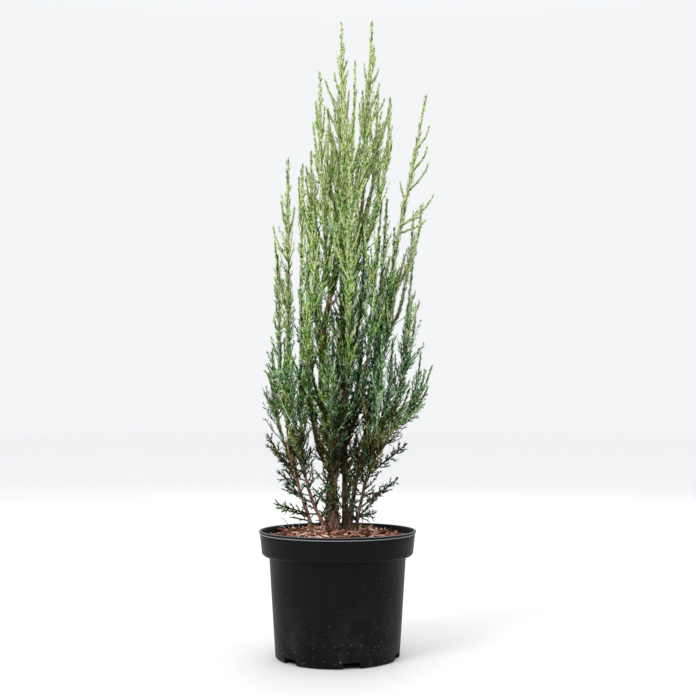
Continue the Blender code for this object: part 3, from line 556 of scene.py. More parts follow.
STEMS = {
    "trunk": ([(-0.008, 0.000, GROUND), (-0.011, 0.002, 0.290), (0.004, 0.004, 0.385),
               (0.012, 0.006, 0.548), (0.036, 0.012, 0.690), (0.040, 0.013, 0.735)], 0.0096, 0.0030),
    "second_stem": ([(0.013, 0.012, GROUND), (0.012, 0.018, 0.310), (0.011, 0.042, 0.470)], 0.0062, 0.0026),
    "right_stem": ([(0.021, -0.008, GROUND), (0.030, -0.008, 0.300), (0.056, -0.006, 0.380),
                    (0.073, -0.004, 0.540), (0.089, 0.000, 0.622)], 0.0042, 0.0023),
    "right_low_stem": ([(0.031, -0.022, GROUND), (0.045, -0.030, 0.288), (0.092, -0.032, 0.400)],
                       0.0036, 0.0023),
    "left_stem": ([(-0.044, -0.006, GROUND), (-0.054, -0.008, 0.246), (-0.082, -0.010, 0.320),
                   (-0.082, -0.006, 0.430)], 0.0036, 0.0023),
    "left_inner_stem": ([(-0.022, -0.018, GROUND), (-0.057, -0.030, 0.289), (-0.060, -0.038, 0.450)],
                        0.0036, 0.0023),
}
BOUGHS = {
    "leader_bough": ("trunk", 0.328, [(-0.027, -0.012, 0.395), (-0.029, -0.016, 0.459),
                                      (-0.021, -0.018, 0.548), (0.001, -0.018, 0.664)], 0.0058, 0.0030),
    "front_bough": ("trunk", 0.300, [(0.014, -0.050, 0.420)], 0.0038, 0.0024),
    "front_right_bough": ("trunk", 0.372, [(0.046, -0.056, 0.465)], 0.0034, 0.0023),
    "back_left_bough": ("trunk", 0.292, [(-0.048, 0.050, 0.430)], 0.0040, 0.0024),
    "back_right_bough": ("second_stem", 0.300, [(0.060, 0.052, 0.440)], 0.0038, 0.0024),
}
TOP_MASSES = {
    "right_leader_spire": ("trunk", (0.0585, 0.012, 1.068)),
    "left_leader_spire": ("leader_bough", (0.0065, -0.010, 1.062)),
    "right_spire": ("right_stem", (0.151, 0.002, 0.939)),
    "left_spire": ("left_stem", (-0.085, 0.002, 0.828)),
    "left_middle_spire": ("left_inner_stem", (-0.058, -0.030, 0.814)),
    "right_outer_spire": ("right_low_stem", (0.127, -0.002, 0.658)),
    "front_spire": ("front_bough", (0.020, -0.058, 0.806)),
    "front_right_spire": ("front_right_bough", (0.072, -0.070, 0.742)),
    "back_upper_spire": ("second_stem", (0.012, 0.062, 0.885)),
    "back_left_spire": ("back_left_bough", (-0.052, 0.064, 0.760)),
    "back_right_spire": ("back_right_bough", (0.086, 0.072, 0.776)),
}
SIDE_MASSES = {
    "upper_left_spire": ("leader_bough", 0.590, (-0.030, -0.022, 0.972)),
    "upper_front_spire": ("leader_bough", 0.620, (0.029, -0.042, 0.985)),
    "upper_right_spire": ("trunk", 0.640, (0.089, -0.010, 0.930)),
    "upper_back_spire": ("trunk", 0.610, (0.010, 0.034, 0.950)),
    "upper_back_right_spire": ("trunk", 0.680, (0.070, 0.044, 0.965)),
    "inner_left_spire": ("leader_bough", 0.470, (-0.046, 0.010, 0.846)),
    "left_outer_spire": ("left_stem", 0.370, (-0.099, -0.036, 0.660)),
    "front_left_spire": ("left_inner_stem", 0.400, (-0.038, -0.084, 0.728)),
    "right_upper_spire": ("right_stem", 0.580, (0.139, -0.038, 0.742)),
    "right_back_spire": ("right_stem", 0.500, (0.130, 0.046, 0.740)),
    "right_inner_spire": ("right_stem", 0.440, (0.094, -0.044, 0.704)),
    "back_middle_spire": ("second_stem", 0.410, (0.028, 0.088, 0.730)),
    "inner_front_spire": ("trunk", 0.352, (-0.030, -0.062, 0.600)),
    "inner_left_low_spire": ("leader_bough", 0.376, (-0.050, 0.004, 0.560)),
    "inner_right_low_spire": ("second_stem", 0.340, (0.042, 0.018, 0.540)),
    "inner_right_spire": ("trunk", 0.420, (0.044, -0.026, 0.680)),
    "low_left_spray": ("left_stem", 0.300, (-0.111, 0.016, 0.505)),
    "low_front_left_spray": ("left_inner_stem", 0.290, (-0.076, -0.086, 0.525)),
    "low_front_spray": ("trunk", 0.268, (-0.014, -0.096, 0.525)),
    "low_front_right_spray": ("right_low_stem", 0.270, (0.072, -0.090, 0.520)),
    "low_right_spray": ("right_low_stem", 0.360, (0.146, -0.016, 0.470)),
    "low_back_right_spray": ("second_stem", 0.262, (0.096, 0.084, 0.530)),
    "low_back_spray": ("second_stem", 0.280, (-0.010, 0.100, 0.535)),
    "low_back_left_spray": ("left_stem", 0.270, (-0.094, 0.070, 0.525)),
}
FOOT_TWIGS = {
    "foot_left_twig": ("left_stem", 0.258, (-0.100, -0.006, 0.304)),
    "foot_left_low_twig": ("left_stem", 0.232, (-0.104, -0.030, 0.250)),
    "foot_left_upper_twig": ("left_stem", 0.284, (-0.118, -0.010, 0.364)),
    "foot_right_twig": ("right_low_stem", 0.242, (0.099, -0.036, 0.291)),
    "foot_right_low_twig": ("right_stem", 0.222, (0.066, 0.004, 0.233)),
    "foot_right_upper_twig": ("right_low_stem", 0.296, (0.114, -0.044, 0.348)),
    "foot_front_twig": ("trunk", 0.232, (-0.004, -0.084, 0.282)),
    "foot_back_twig": ("second_stem", 0.232, (0.022, 0.094, 0.284)),
}


# Scene helpers

def srgb(red, green, blue):
    """Linear colour from the usual 0 to 255 values."""
    def linear(value):
        value /= 255
        return value / 12.92 if value <= 0.04045 else ((value + 0.055) / 1.055) ** 2.4
    return (linear(red), linear(green), linear(blue), 1.0)


def add_mesh(name, points, faces, material, smooth=False):
    """A mesh object from an array of points and arrays of faces that each have one number of corners."""
    mesh = bpy.data.meshes.new(name)
    mesh.vertices.add(len(points))
    mesh.vertices.foreach_set("co", np.asarray(points, np.float32).ravel())
    faces = [np.asarray(group, np.int32) for group in faces if len(group)]
    corners = np.concatenate([group.ravel() for group in faces])
    counts = np.concatenate([np.full(len(group), group.shape[1], np.int32) for group in faces])
    mesh.loops.add(len(corners))
    mesh.loops.foreach_set("vertex_index", corners)
    mesh.polygons.add(len(counts))
    starts = np.concatenate([[0], np.cumsum(counts)[:-1]]).astype(np.int32)
    mesh.polygons.foreach_set("loop_start", starts)
    mesh.polygons.foreach_set("use_smooth", np.full(len(counts), smooth))
    mesh.update(calc_edges=True)
    mesh.materials.append(material)
    item = bpy.data.objects.new(name, mesh)
    bpy.context.scene.collection.objects.link(item)
    return item


def dress(item, slot, *nodes):
    """Say what a piece rides on and which solids it stands for; its slot is not used."""
    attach(item, "root")
    if nodes:
        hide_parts(*nodes)


class Shader:
    """A Principled material whose nodes are added one by one."""

    def __init__(self, name, roughness, **sockets):
        self.material = bpy.data.materials.new(name)
        self.material.use_nodes = True
        self.tree = self.material.node_tree
        self.main = self.tree.nodes["Principled BSDF"]
        self.main.inputs["Roughness"].default_value = roughness
        for socket, value in sockets.items():
            self.main.inputs[socket.replace("_", " ")].default_value = value

    def link(self, source, target):
        self.tree.links.new(source, target)

    def place(self, scale=(1.0, 1.0, 1.0)):
        """Object coordinates, stretched."""
        coordinates = self.tree.nodes.new("ShaderNodeTexCoord")
        mapping = self.tree.nodes.new("ShaderNodeMapping")
        mapping.inputs["Scale"].default_value = scale
        self.link(coordinates.outputs["Object"], mapping.inputs["Vector"])
        return mapping.outputs["Vector"]

    def height(self):
        """Height above the ground."""
        split = self.tree.nodes.new("ShaderNodeSeparateXYZ")
        self.link(self.place(), split.inputs["Vector"])
        return split.outputs["Z"]

    def radius(self):
        """Distance from the upright axis."""
        length = self.tree.nodes.new("ShaderNodeVectorMath")
        length.operation = "LENGTH"
        self.link(self.place((1.0, 1.0, 0.0)), length.inputs[0])
        return length.outputs["Value"]

    def noise(self, scale, detail=4.0, roughness=0.55, stretch=(1.0, 1.0, 1.0)):
        texture = self.tree.nodes.new("ShaderNodeTexNoise")
        texture.inputs["Scale"].default_value = scale
        texture.inputs["Detail"].default_value = detail
        texture.inputs["Roughness"].default_value = roughness
        self.link(self.place(stretch), texture.inputs["Vector"])
        return texture.outputs["Fac"]

    def ramp(self, value, stops):
        """A colour ramp from a list of (position, colour) stops."""
        node = self.tree.nodes.new("ShaderNodeValToRGB")
        elements = node.color_ramp.elements
        while len(elements) < len(stops):
            elements.new(0.5)
        for element, (position, colour) in zip(elements, stops):
            element.position = position
            element.color = colour
        self.link(value, node.inputs["Fac"])
        return node.outputs["Color"]

    def span(self, value, low, high, start=0.0, end=1.0):
        """A value mapped from one range onto another."""
        node = self.tree.nodes.new("ShaderNodeMapRange")
        for socket, number in (("From Min", start), ("From Max", end), ("To Min", low), ("To Max", high)):
            node.inputs[socket].default_value = number
        self.link(value, node.inputs["Value"])
        return node.outputs["Result"]

    def mix(self, share, first, second, blend="MIX"):
        """Two colours mixed by a share, each a socket or a plain value."""
        node = self.tree.nodes.new("ShaderNodeMix")
        node.data_type = "RGBA"
        node.blend_type = blend
        for value, socket in ((share, node.inputs[0]), (first, node.inputs[6]), (second, node.inputs[7])):
            if isinstance(value, bpy.types.NodeSocket):
                self.link(value, socket)
            else:
                socket.default_value = value
        return node.outputs[2]

    def maths(self, operation, first, second):
        node = self.tree.nodes.new("ShaderNodeMath")
        node.operation = operation
        for value, socket in ((first, node.inputs[0]), (second, node.inputs[1])):
            if isinstance(value, bpy.types.NodeSocket):
                self.link(value, socket)
            else:
                socket.default_value = value
        return node.outputs["Value"]

    def bump(self, height, strength, distance):
        node = self.tree.nodes.new("ShaderNodeBump")
        node.inputs["Strength"].default_value = strength
        node.inputs["Distance"].default_value = distance
        self.link(height, node.inputs["Height"])
        self.link(node.outputs["Normal"], self.main.inputs["Normal"])

    def colour(self, socket):
        self.link(socket, self.main.inputs["Base Color"])


# Materials

def pot_plastic():
    """Black moulded plastic: satin, with faint upright streaks, pale dust specks, chalky scuffs low and
    painted lip highlights.
    """
    shader = Shader("pot_plastic", 0.42, Specular_IOR_Level=0.06)
    streaks = shader.noise(60.0, 5.0, 0.6, (1.0, 1.0, 0.06))
    black = shader.ramp(streaks, [(0.3, BLACKS[0]), (0.7, BLACKS[1])])
    blotches = shader.noise(22.0, 6.0, 0.65)
    height = shader.height()
    low = shader.span(height, 1.0, 0.0, *SCUFF_HEIGHTS)
    scuffs = shader.maths("MULTIPLY", shader.span(blotches, 0.0, 0.40, 0.50, 0.72), low)
    dusty = shader.mix(scuffs, black, SCUFF_COLOUR)
    dots = shader.noise(620.0, 0.0, 0.0)
    specks = shader.maths("SUBTRACT", dots, shader.span(height, 0.0, 0.08, *SPECK_HEIGHTS))
    speckled = shader.mix(shader.span(specks, 0.0, 0.9, *SPECK_SIZE), dusty, SPECK_COLOUR)
    # Painted highlight: the top edge of the lip drawn pale
    edge = shader.span(height, 0.0, 0.8, POT_HEIGHT - EDGE_HIGHLIGHT_DEPTHS[0], POT_HEIGHT - EDGE_HIGHLIGHT_DEPTHS[1])
    edge_highlit = shader.mix(edge, speckled, EDGE_HIGHLIGHT_COLOUR)
    # Painted highlight: a fine pale line just under the lip, on the outside of the collar only
    under_lip = POT_HEIGHT - LIP_DEPTH
    highlight_line_foot = shader.span(height, 0.0, 1.0, under_lip - HIGHLIGHT_LINE_FOOT[0], under_lip - HIGHLIGHT_LINE_FOOT[1])
    highlight_line_top = shader.span(height, 0.0, 1.0, under_lip - HIGHLIGHT_LINE_TOP[0], under_lip - HIGHLIGHT_LINE_TOP[1])
    line = shader.maths("SUBTRACT", highlight_line_foot, highlight_line_top)
    outside = shader.span(shader.radius(), 0.0, 0.8, COLLAR_TOP_RADIUS - HIGHLIGHT_LINE_INSET[0],
                          COLLAR_TOP_RADIUS - HIGHLIGHT_LINE_INSET[1])
    shader.colour(shader.mix(shader.maths("MULTIPLY", line, outside), edge_highlit, HIGHLIGHT_LINE_COLOUR))
    shader.link(shader.span(streaks, 0.33, 0.52), shader.main.inputs["Roughness"])
    shader.bump(shader.noise(380.0, 3.0, 0.5), 0.10, 0.0004)
    return shader.material


def bark(kind):
    """Fibrous bark of one kind, streaked along the limb."""
    dark, middle, light = [srgb(*colour) for colour in BARKS[kind]]
    shader = Shader(kind + "_bark", 0.85, Specular_IOR_Level=0.10)
    fibres = shader.noise(260.0, 5.0, 0.65, (1.0, 1.0, 0.14))
    patches = shader.noise(45.0, 3.0, 0.5, (1.0, 1.0, 0.4))
    fibre_colour = shader.ramp(fibres, [(0.32, dark), (0.56, middle), (0.76, light)])
    patched = shader.mix(shader.span(patches, 0.0, 0.55, 0.45, 0.7), fibre_colour, middle)
    flecks = shader.noise(430.0, 1.0, 0.4, (1.0, 1.0, 0.6))
    shader.colour(shader.mix(shader.span(flecks, 0.0, 0.8, 0.62, 0.68), patched, light))
    shader.bump(fibres, 0.6, 0.0008)
    return shader.material


def scaled(colour, gain):
    """A colour made lighter or darker by a gain."""
    return tuple(min(1.0, value * gain) for value in colour[:3]) + (1.0,)


def leaf(name, colour):
    """Scale leaves of one tint, with a slight play of light and shade from leaf to leaf."""
    shader = Shader(name, 0.66, Specular_IOR_Level=0.10)
    flecks = shader.noise(430.0, 2.0, 0.5)
    shader.colour(shader.ramp(flecks, [(0.36, scaled(colour, 0.45)), (0.64, scaled(colour, 1.6))]))
    return shader.material


def shred(name, colour):
    """Dry bark shreds with a fibrous grain."""
    shader = Shader(name, 0.9, Specular_IOR_Level=0.08)
    grain = shader.noise(330.0, 3.0, 0.6)
    shader.colour(shader.ramp(grain, [(0.3, scaled(colour, 0.6)), (0.7, scaled(colour, 1.35))]))
    shader.bump(grain, 0.4, 0.0006)
    return shader.material


# Lines, as in the solids

def distances(points):
    """How far along a line each of its points lies."""
    return np.concatenate([[0.0], np.cumsum(np.linalg.norm(np.diff(points, axis=0), axis=1))])


def at_height(line, height):
    """The point of a rising line at a height."""
    return np.array([np.interp(height, line[:, 2], line[:, axis]) for axis in range(3)])


def smooth_line(points, spacing, seed):
    """Evenly spaced points along straight runs, rounded at the bends, with a slight seeded wander."""
    corners = np.array(points, dtype=float)
    stations = distances(corners)
    total = stations[-1]
    along = np.linspace(0.0, total, max(4, round(total / spacing) + 1))

    def place(distance):
        return np.stack([np.interp(distance, stations, corners[:, k]) for k in range(3)], axis=1)

    reach = np.minimum(ROUNDING, np.minimum(along, total - along))
    line = (place(along - reach) + 2 * place(along) + place(along + reach)) / 4
    source = random.Random(seed)
    share = along / total
    for axis in (0, 1):
        for waves in WANDER_WAVES:
            phase = source.uniform(0, math.tau)
            height = WANDER * min(1.0, total / STEADY_LENGTH) / waves
            line[:, axis] += height * np.sin(math.tau * waves * share + phase) * np.sin(math.pi * share)
    return line


def way_points(start, tip, power):
    """Points from a start to a tip that go out at first and then turn up, or straight for a power of one."""
    start, tip = np.array(start), np.array(tip)
    points = []
    for share in WAY_SHARES:
        out = 1.0 - (1.0 - share) ** power
        points.append(tuple(start + (tip - start) * np.array([out, out, share])))
    return points


def side_points(parent, height, points, power):
    """Points of a limb that leaves its parent's side, from inside the parent's bark on."""
    line, radii = parent
    centre = at_height(line, height)
    if len(points) == 1:
        points = way_points(centre, points[0], power)
    towards = np.array(points[0]) - centre
    towards /= np.linalg.norm(towards)
    foot = centre + towards * float(np.interp(height, line[:, 2], radii))
    return [tuple(foot)] + list(points)


def taper(count, foot_radius, tip_radius):
    """Radii from a limb's foot to its tip."""
    share = np.linspace(0.0, 1.0, count)
    return tip_radius + (foot_radius - tip_radius) * (1 - share) ** TAPER_POWER


def fine_line(line, spacing):
    """Points closer together on a smooth curve through a line's points, and the share of the way of each."""
    line = np.asarray(line, float)
    stations = distances(line)
    count = max(4, int(stations[-1] / spacing) + 1)
    along = np.linspace(0.0, stations[-1], count)
    slopes = np.gradient(line, stations, axis=0)
    index = np.clip(np.searchsorted(stations, along, side="right") - 1, 0, len(line) - 2)
    run = (stations[index + 1] - stations[index])[:, None]
    share = ((along - stations[index])[:, None]) / run
    start, end = line[index], line[index + 1]
    start_slope, end_slope = slopes[index] * run, slopes[index + 1] * run
    points = ((2 * share ** 3 - 3 * share ** 2 + 1) * start
              + (share ** 3 - 2 * share ** 2 + share) * start_slope
              + (3 * share ** 2 - 2 * share ** 3) * end + (share ** 3 - share ** 2) * end_slope)
    return points, along / stations[-1]


def lay_out_limbs():
    """Line and radii of every stem and bough."""
    limbs = {}
    for name, (points, foot_radius, tip_radius) in STEMS.items():
        foot = np.array(points[0])
        start = tuple(foot + np.array([0.0, 0.0, FOOT_RISE]))
        spacing = TRUNK_RING_SPACING if name == "trunk" else RING_SPACING
        line = smooth_line([start] + points[1:], spacing, name)
        limbs[name] = (line, taper(len(line), foot_radius, tip_radius))
    for name, (parent, height, points, foot_radius, tip_radius) in BOUGHS.items():
        line = smooth_line(side_points(limbs[parent], height, points, TURN_UP), RING_SPACING, name)
        limbs[name] = (line, taper(len(line), foot_radius, tip_radius))
    return limbs


def lay_out_stems(limbs):
    """Line of the stem of each mass of foliage, and its radius at the foot."""
    stems = {}
    for name, (parent, tip) in TOP_MASSES.items():
        line, radii = limbs[parent]
        direction = (line[-1] - line[-2]) / np.linalg.norm(line[-1] - line[-2])
        foot = line[-1] + direction * TIP_GAP
        bare = foot + direction * BARE_STEM
        points = [tuple(foot), tuple(bare)] + way_points(bare, tip, STRAIGHT)
        stems[name] = (smooth_line(points, STEM_RING_SPACING, name), radii[-1])
    for name, (parent, height, tip) in SIDE_MASSES.items():
        points = side_points(limbs[parent], height, [tip], TURN_UP)
        stems[name] = (smooth_line(points, STEM_RING_SPACING, name), STEM_RADIUS)
    for name, (parent, height, tip) in FOOT_TWIGS.items():
        points = side_points(limbs[parent], height, [tip], STRAIGHT)
        stems[name] = (smooth_line(points, STEM_RING_SPACING / 3, name), FOOT_TWIG_RADIUS)
    return stems


# Arrays of cords, each an array of (cords, points, 3)

def unit(vectors):
    """Vectors made one long."""
    return vectors / np.maximum(np.linalg.norm(vectors, axis=-1, keepdims=True), 1e-12)


def frames(cords, guide):
    """Unit directions along each point of the cords, and two square to it that don't twist."""
    along = unit(np.gradient(cords, axis=1))
    across = guide[:, None, :] - along * (along * guide[:, None, :]).sum(-1, keepdims=True)
    across = unit(across)
    return along, across, np.cross(along, across)


def ring_faces(rings, sides):
    """Faces with four corners between rings of points, each with the same number of sides."""
    base = (np.arange(rings - 1) * sides)[:, None]
    side = np.arange(sides)[None, :]
    after = (side + 1) % sides
    corners = [base + side, base + after, base + sides + after, base + sides + side]
    return np.stack(corners, -1).reshape(-1, 4)


def tubes(cords, radii, guide, sides):
    """Points and faces of tubes round cords, their last ring drawn to a point."""
    count, rings = cords.shape[:2]
    along, across, over = frames(cords, guide)
    angles = math.tau * np.arange(sides) / sides
    spokes = (across[:, :, None, :] * np.cos(angles)[None, None, :, None]
              + over[:, :, None, :] * np.sin(angles)[None, None, :, None])
    points = cords[:, :, None, :] + spokes * radii[:, :, None, None]
    levels = rings - 1
    flat = points[:, :-1].reshape(-1, 3)
    firsts = np.arange(count) * levels * sides
    quads = (firsts[:, None, None] + ring_faces(levels, sides)[None]).reshape(-1, 4)
    last = firsts[:, None] + (levels - 1) * sides
    side = np.arange(sides)[None, :]
    after = (side + 1) % sides
    tip = len(flat) + np.broadcast_to(np.arange(count)[:, None], (count, sides))
    triangles = np.stack([last + side, last + after, tip], -1).reshape(-1, 3)
    return np.concatenate([flat, cords[:, -1]]), quads, triangles


def leaves(cords, lengths, radii, guide, spacing, size, source, bare):
    """Keeled scale leaves in crossed pairs along cords, past a bare share of each: four points a leaf."""
    rings = cords.shape[1]
    along, across, over = frames(cords, guide)
    most = int(lengths.max() / spacing) + 1
    stations = (np.arange(most)[None, :] + LEAF_START) * spacing / lengths[:, None]
    used = (stations < LEAF_END) & (stations > bare)
    owner, node = np.nonzero(used)
    share = stations[used] * (rings - 1)
    index = np.minimum(share.astype(int), rings - 2)
    share = (share - index)[:, None]

    def at(values):
        return values[owner, index] * (1 - share) + values[owner, index + 1] * share

    place, direction, first, second = at(cords), unit(at(along)), unit(at(across)), unit(at(over))
    radius = at(radii[..., None])
    points = []
    for half in (0, 1):
        twist = source.uniform(-LEAF_TWIST, LEAF_TWIST, len(node))
        angle = (node * math.pi / 2 + half * math.pi + twist)[:, None]
        out = first * np.cos(angle) + second * np.sin(angle)
        width = np.cross(direction, out)
        length = size * spread(source, LEAF_SIZES, (len(node), 1))
        spring = spread(source, LEAF_SPRING, (len(node), 1))
        foot = place + out * radius * LEAF_ROOT
        points.append(np.stack([foot - width * length * LEAF_HALF_WIDTH, foot + out * length * LEAF_KEEL,
                                foot + width * length * LEAF_HALF_WIDTH,
                                foot + (direction + out * spring) * length], axis=1))
    return np.concatenate(points)


def curved_cords(start, along, outward, length, lean, count, tip_lean):
    """Cords that leave their start leaning outward and turn back along their carrier."""
    points = [start]
    for k in range(count - 1):
        share = k / max(1, count - 2)
        angle = (lean * (ROOT_LEAN + (tip_lean - ROOT_LEAN) * share))[:, None]
        way = along * np.cos(angle) + outward * np.sin(angle)
        points.append(points[-1] + way * length[:, None] / (count - 1))
    return np.stack(points, axis=1)


def between(pair, height):
    """Values that go from the first at the lowest foliage to the second at the top."""
    share = np.clip((height - FOLIAGE_FOOT) / (FOLIAGE_TOP - FOLIAGE_FOOT), 0.0, 1.0) ** CHANGE_POWER
    return pair[0] + (pair[1] - pair[0]) * share


def tree_of(points):
    """A search tree over points."""
    tree = KDTree(len(points))
    for k, point in enumerate(points):
        tree.insert(point, k)
    tree.balance()
    return tree


class Space:
    """Which stem a place belongs to, and how far it lies from the bark, as in the solids."""

    def __init__(self, limbs, stems):
        self.names = list(stems)
        samples = [(name, point) for name, (line, radius) in stems.items()
                   for point in fine_line(line, SAMPLE_SPACING)[0]]
        self.owners = [self.names.index(name) for name, point in samples]
        self.tree = tree_of([point for name, point in samples])
        self.bark = []
        for line, radii in limbs.values():
            points, share = fine_line(line, SAMPLE_SPACING)
            self.bark += list(zip(points, np.interp(share, np.linspace(0, 1, len(radii)), radii)))
        self.limb_tree = tree_of([point for point, radius in self.bark])

    def is_off_bark(self, points):
        """True where the points keep clear of every limb."""
        for point in points:
            place, index, gap = self.limb_tree.find(point)
            if gap - self.bark[index][1] < LIMB_CLEARANCE:
                return False
        return True

    def is_clear(self, name, points):
        """True where the points stay in the named mass's own space and clear of every limb."""
        own = self.names.index(name)
        for point in points:
            place, index, gap = self.tree.find(point)
            if self.owners[index] != own or point[2] < MULCH_CROWN:
                return False
        return self.is_off_bark(points)


# Growth of the foliage

SIDEWAYS = np.array([[0.3, 1.0, 0.1]])


class Foliage:
    """Collects cords and leaves by tint, and turns them into pieces."""

    def __init__(self):
        self.parts = {}
        self.sky = Sky()

    def add(self, tint, points, *faces):
        """Keep points and faces of one tint for its pieces."""
        self.parts.setdefault(tint, []).append((points, faces))

    def pieces(self, name, material, tint):
        """Pieces of one tint, each under the most triangles that a piece may have."""
        made, points, faces, total, triangles = [], [], [], 0, 0
        for part in self.parts.get(tint, []) + [None]:
            size = 0 if part is None else sum(len(group) * (group.shape[1] - 2) for group in part[1])
            if points and (part is None or triangles + size > MOST_TRIANGLES):
                groups = {}
                for group in faces:
                    groups.setdefault(group.shape[1], []).append(group)
                made.append(add_mesh("%s_%d" % (name, len(made) + 1), np.concatenate(points),
                                     [np.concatenate(group) for group in groups.values()], material))
                points, faces, total, triangles = [], [], 0, 0
            if part is None:
                break
            points.append(part[0])
            faces += [group + total for group in part[1] if len(group)]
            total += len(part[0])
            triangles += size
        return made


def shaded(tone, shift):
    """A tone some levels darker or lighter in its own family."""
    family = tone // LEVELS * LEVELS
    return np.clip(tone + shift, family, family + LEVELS - 1)


def spread(source, pair, count=None):
    """Random values between two shares."""
    return source.uniform(pair[0], pair[1], count)


def inside(points, box, margin):
    """True where all the points lie in a box grown by a margin."""
    low, high = box
    margin = np.array(margin)
    return bool(np.all(points > np.array(low) - margin) and np.all(points < np.array(high) + margin))


class Sky:
    """Where the front view shows sky past and through the crown: a grid on the plane through the axis."""

    def __init__(self):
        low, high = CAD_BOX
        self.left = low[0] - SKY_MARGIN
        columns = np.arange(self.left, high[0] + SKY_MARGIN, SKY_GRID)
        rows = np.arange(0.0, high[2] + SKY_MARGIN, SKY_GRID)
        self.x, self.z = np.meshgrid(columns, rows, indexing="ij")
        self.holes = np.zeros(self.x.shape, bool)
        for middle, height, half_width, half_height in SKY_GAPS:
            self.holes |= self.oval(middle, height, half_width, half_height, 0.0)
        left = np.interp(self.z, EDGE_HEIGHTS, LEFT_EDGES)
        right = np.interp(self.z, EDGE_HEIGHTS, RIGHT_EDGES)
        self.past = self.holes | (self.x < left) | (self.x > right)
        source = np.random.default_rng(SLIT_SEED)
        for across, up, count in SKY_SLITS:
            for k in range(count):
                middle, height = spread(source, across), spread(source, up)
                lean = SLIT_FAN * (middle - CROWN_MIDDLE)
                half_width, half_height = spread(source, SLIT_WIDTH), spread(source, SLIT_HEIGHT)
                self.holes |= self.oval(middle, height, half_width, half_height, lean)

    def oval(self, middle, height, half_width, half_height, lean):
        """The places of the grid that lie in a leaning oval."""
        x, z = self.x - middle, self.z - height
        across = (x * math.cos(lean) - z * math.sin(lean)) / half_width
        along = (x * math.sin(lean) + z * math.cos(lean)) / half_height
        return across ** 2 + along ** 2 < 1.0

    def look_up(self, grid, points):
        """Values of a grid where the camera sees the points."""
        eye = np.array(CAMERA_PLACE)
        share = -eye[1] / (points[..., 1] - eye[1])
        column = ((eye[0] + (points[..., 0] - eye[0]) * share - self.left) / SKY_GRID).astype(int)
        row = ((eye[2] + (points[..., 2] - eye[2]) * share) / SKY_GRID).astype(int)
        return grid[np.clip(column, 0, grid.shape[0] - 1), np.clip(row, 0, grid.shape[1] - 1)]

    def is_clear(self, cord):
        """True where a cord stays within the outline and out of the wide gaps."""
        points = np.concatenate([cord, (cord[1:] + cord[:-1]) / 2])
        return not np.any(self.look_up(self.past, points))

    def hides(self, points):
        """True for the points that lie in a gap or a slit."""
        return self.look_up(self.holes, points)


def side_directions(along, angle):
    """Unit directions square to the ones given, turned round them by an angle each."""
    guide = np.where(np.abs(along[:, :1]) < 0.9, np.array([[1.0, 0.0, 0.0]]), np.array([[0.0, 1.0, 0.0]]))
    across = unit(np.cross(along, guide))
    return across * np.cos(angle)[:, None] + np.cross(along, across) * np.sin(angle)[:, None]


def places(line, stations, step):
    """Points and directions at distances along a line whose points are one step apart."""
    index = np.clip((stations / step).astype(int), 0, len(line) - 2)
    share = (stations / step - index)[:, None]
    return line[index] * (1 - share) + line[index + 1] * share, unit(line[index + 1] - line[index])


def grow_sprays(line, step, first, last, spacing, rule, source, is_free):
    """Sprays along a line by the golden angle, each shortened until it is free: cords and their lengths."""
    stations = np.arange(first, last, spacing)
    stations = stations + source.uniform(0.0, spacing * SPACING_WANDER, len(stations))
    starts, alongs = places(line, stations, step)
    turns = np.arange(len(stations)) * GOLDEN_ANGLE
    turns = turns + source.uniform(-TURN_WANDER, TURN_WANDER, len(stations))
    outwards = side_directions(alongs, turns)
    left = step * (len(line) - 1) - stations
    lengths, leans = rule(starts[:, 2], left, source)
    lengths = np.where(source.random(len(stations)) < between(SPRAY_SHARE, starts[:, 2]), lengths, 0.0)
    cords, sizes = [], []
    for start, along, outward, length, lean in zip(starts, alongs, outwards, lengths, leans):
        for scale in TRIES:
            size = np.array([length * scale])
            cord = curved_cords(start[None], along[None], outward[None], size, np.array([lean]),
                                SPRAY_POINTS, TIP_LEAN)[0]
            if size[0] > SHORTEST_SPRAY and is_free(cord[FREE_FROM:]):
                cords.append(cord)
                sizes.append(size[0])
                break
    return np.array(cords), np.array(sizes)


def mass_rule(height, left, source):
    """Length and lean of the sprays of a mass, shorter near its tip."""
    length = between(SPRAY_LENGTH, height) * spread(source, LENGTH_SPREAD, len(height))
    length = np.minimum(length, (left - TIP_BARE) * TIP_SHARE)
    return length, between(SPRAY_LEAN, height) * spread(source, LEAN_SPREAD, len(height))


def whip_rule(height, left, source):
    """Length and lean of the sprays of a whip."""
    shortest = between((WHIP_SPRAY_LENGTH[0][0], WHIP_SPRAY_LENGTH[1][0]), height)
    longest = between((WHIP_SPRAY_LENGTH[0][1], WHIP_SPRAY_LENGTH[1][1]), height)
    length = shortest + (longest - shortest) * source.random(len(height))
    length = np.minimum(length, (left - TIP_BARE) * TIP_SHARE)
    return length, between(SPRAY_LEAN, height) * spread(source, LEAN_SPREAD, len(height))


def limb_rule(height, left, source):
    """Length and lean of the sprays that stand on the limbs themselves."""
    length = between(LIMB_SPRAY_LENGTH, height) * spread(source, LIMB_LENGTH_SPREAD, len(height))
    return length, between(LIMB_SPRAY_LEAN, height) * spread(source, LEAN_SPREAD, len(height))


def foot_rule(height, left, source):
    """Length and lean of the low twigs on the bare stems, which stand out nearly level."""
    length = spread(source, FOOT_SPRAY_LENGTH, len(height))
    return length, spread(source, FOOT_SPRAY_LEAN, len(height))


def twig_rule(height, left, source):
    """Length and lean of the shoots of a foot twig."""
    longest = left * FOOT_SHOOT_LIMIT[0] + FOOT_SHOOT_LIMIT[1]
    length = np.minimum(spread(source, FOOT_SHOOT_LENGTH, len(height)), longest)
    return length, spread(source, FOOT_SHOOT_LEAN, len(height))


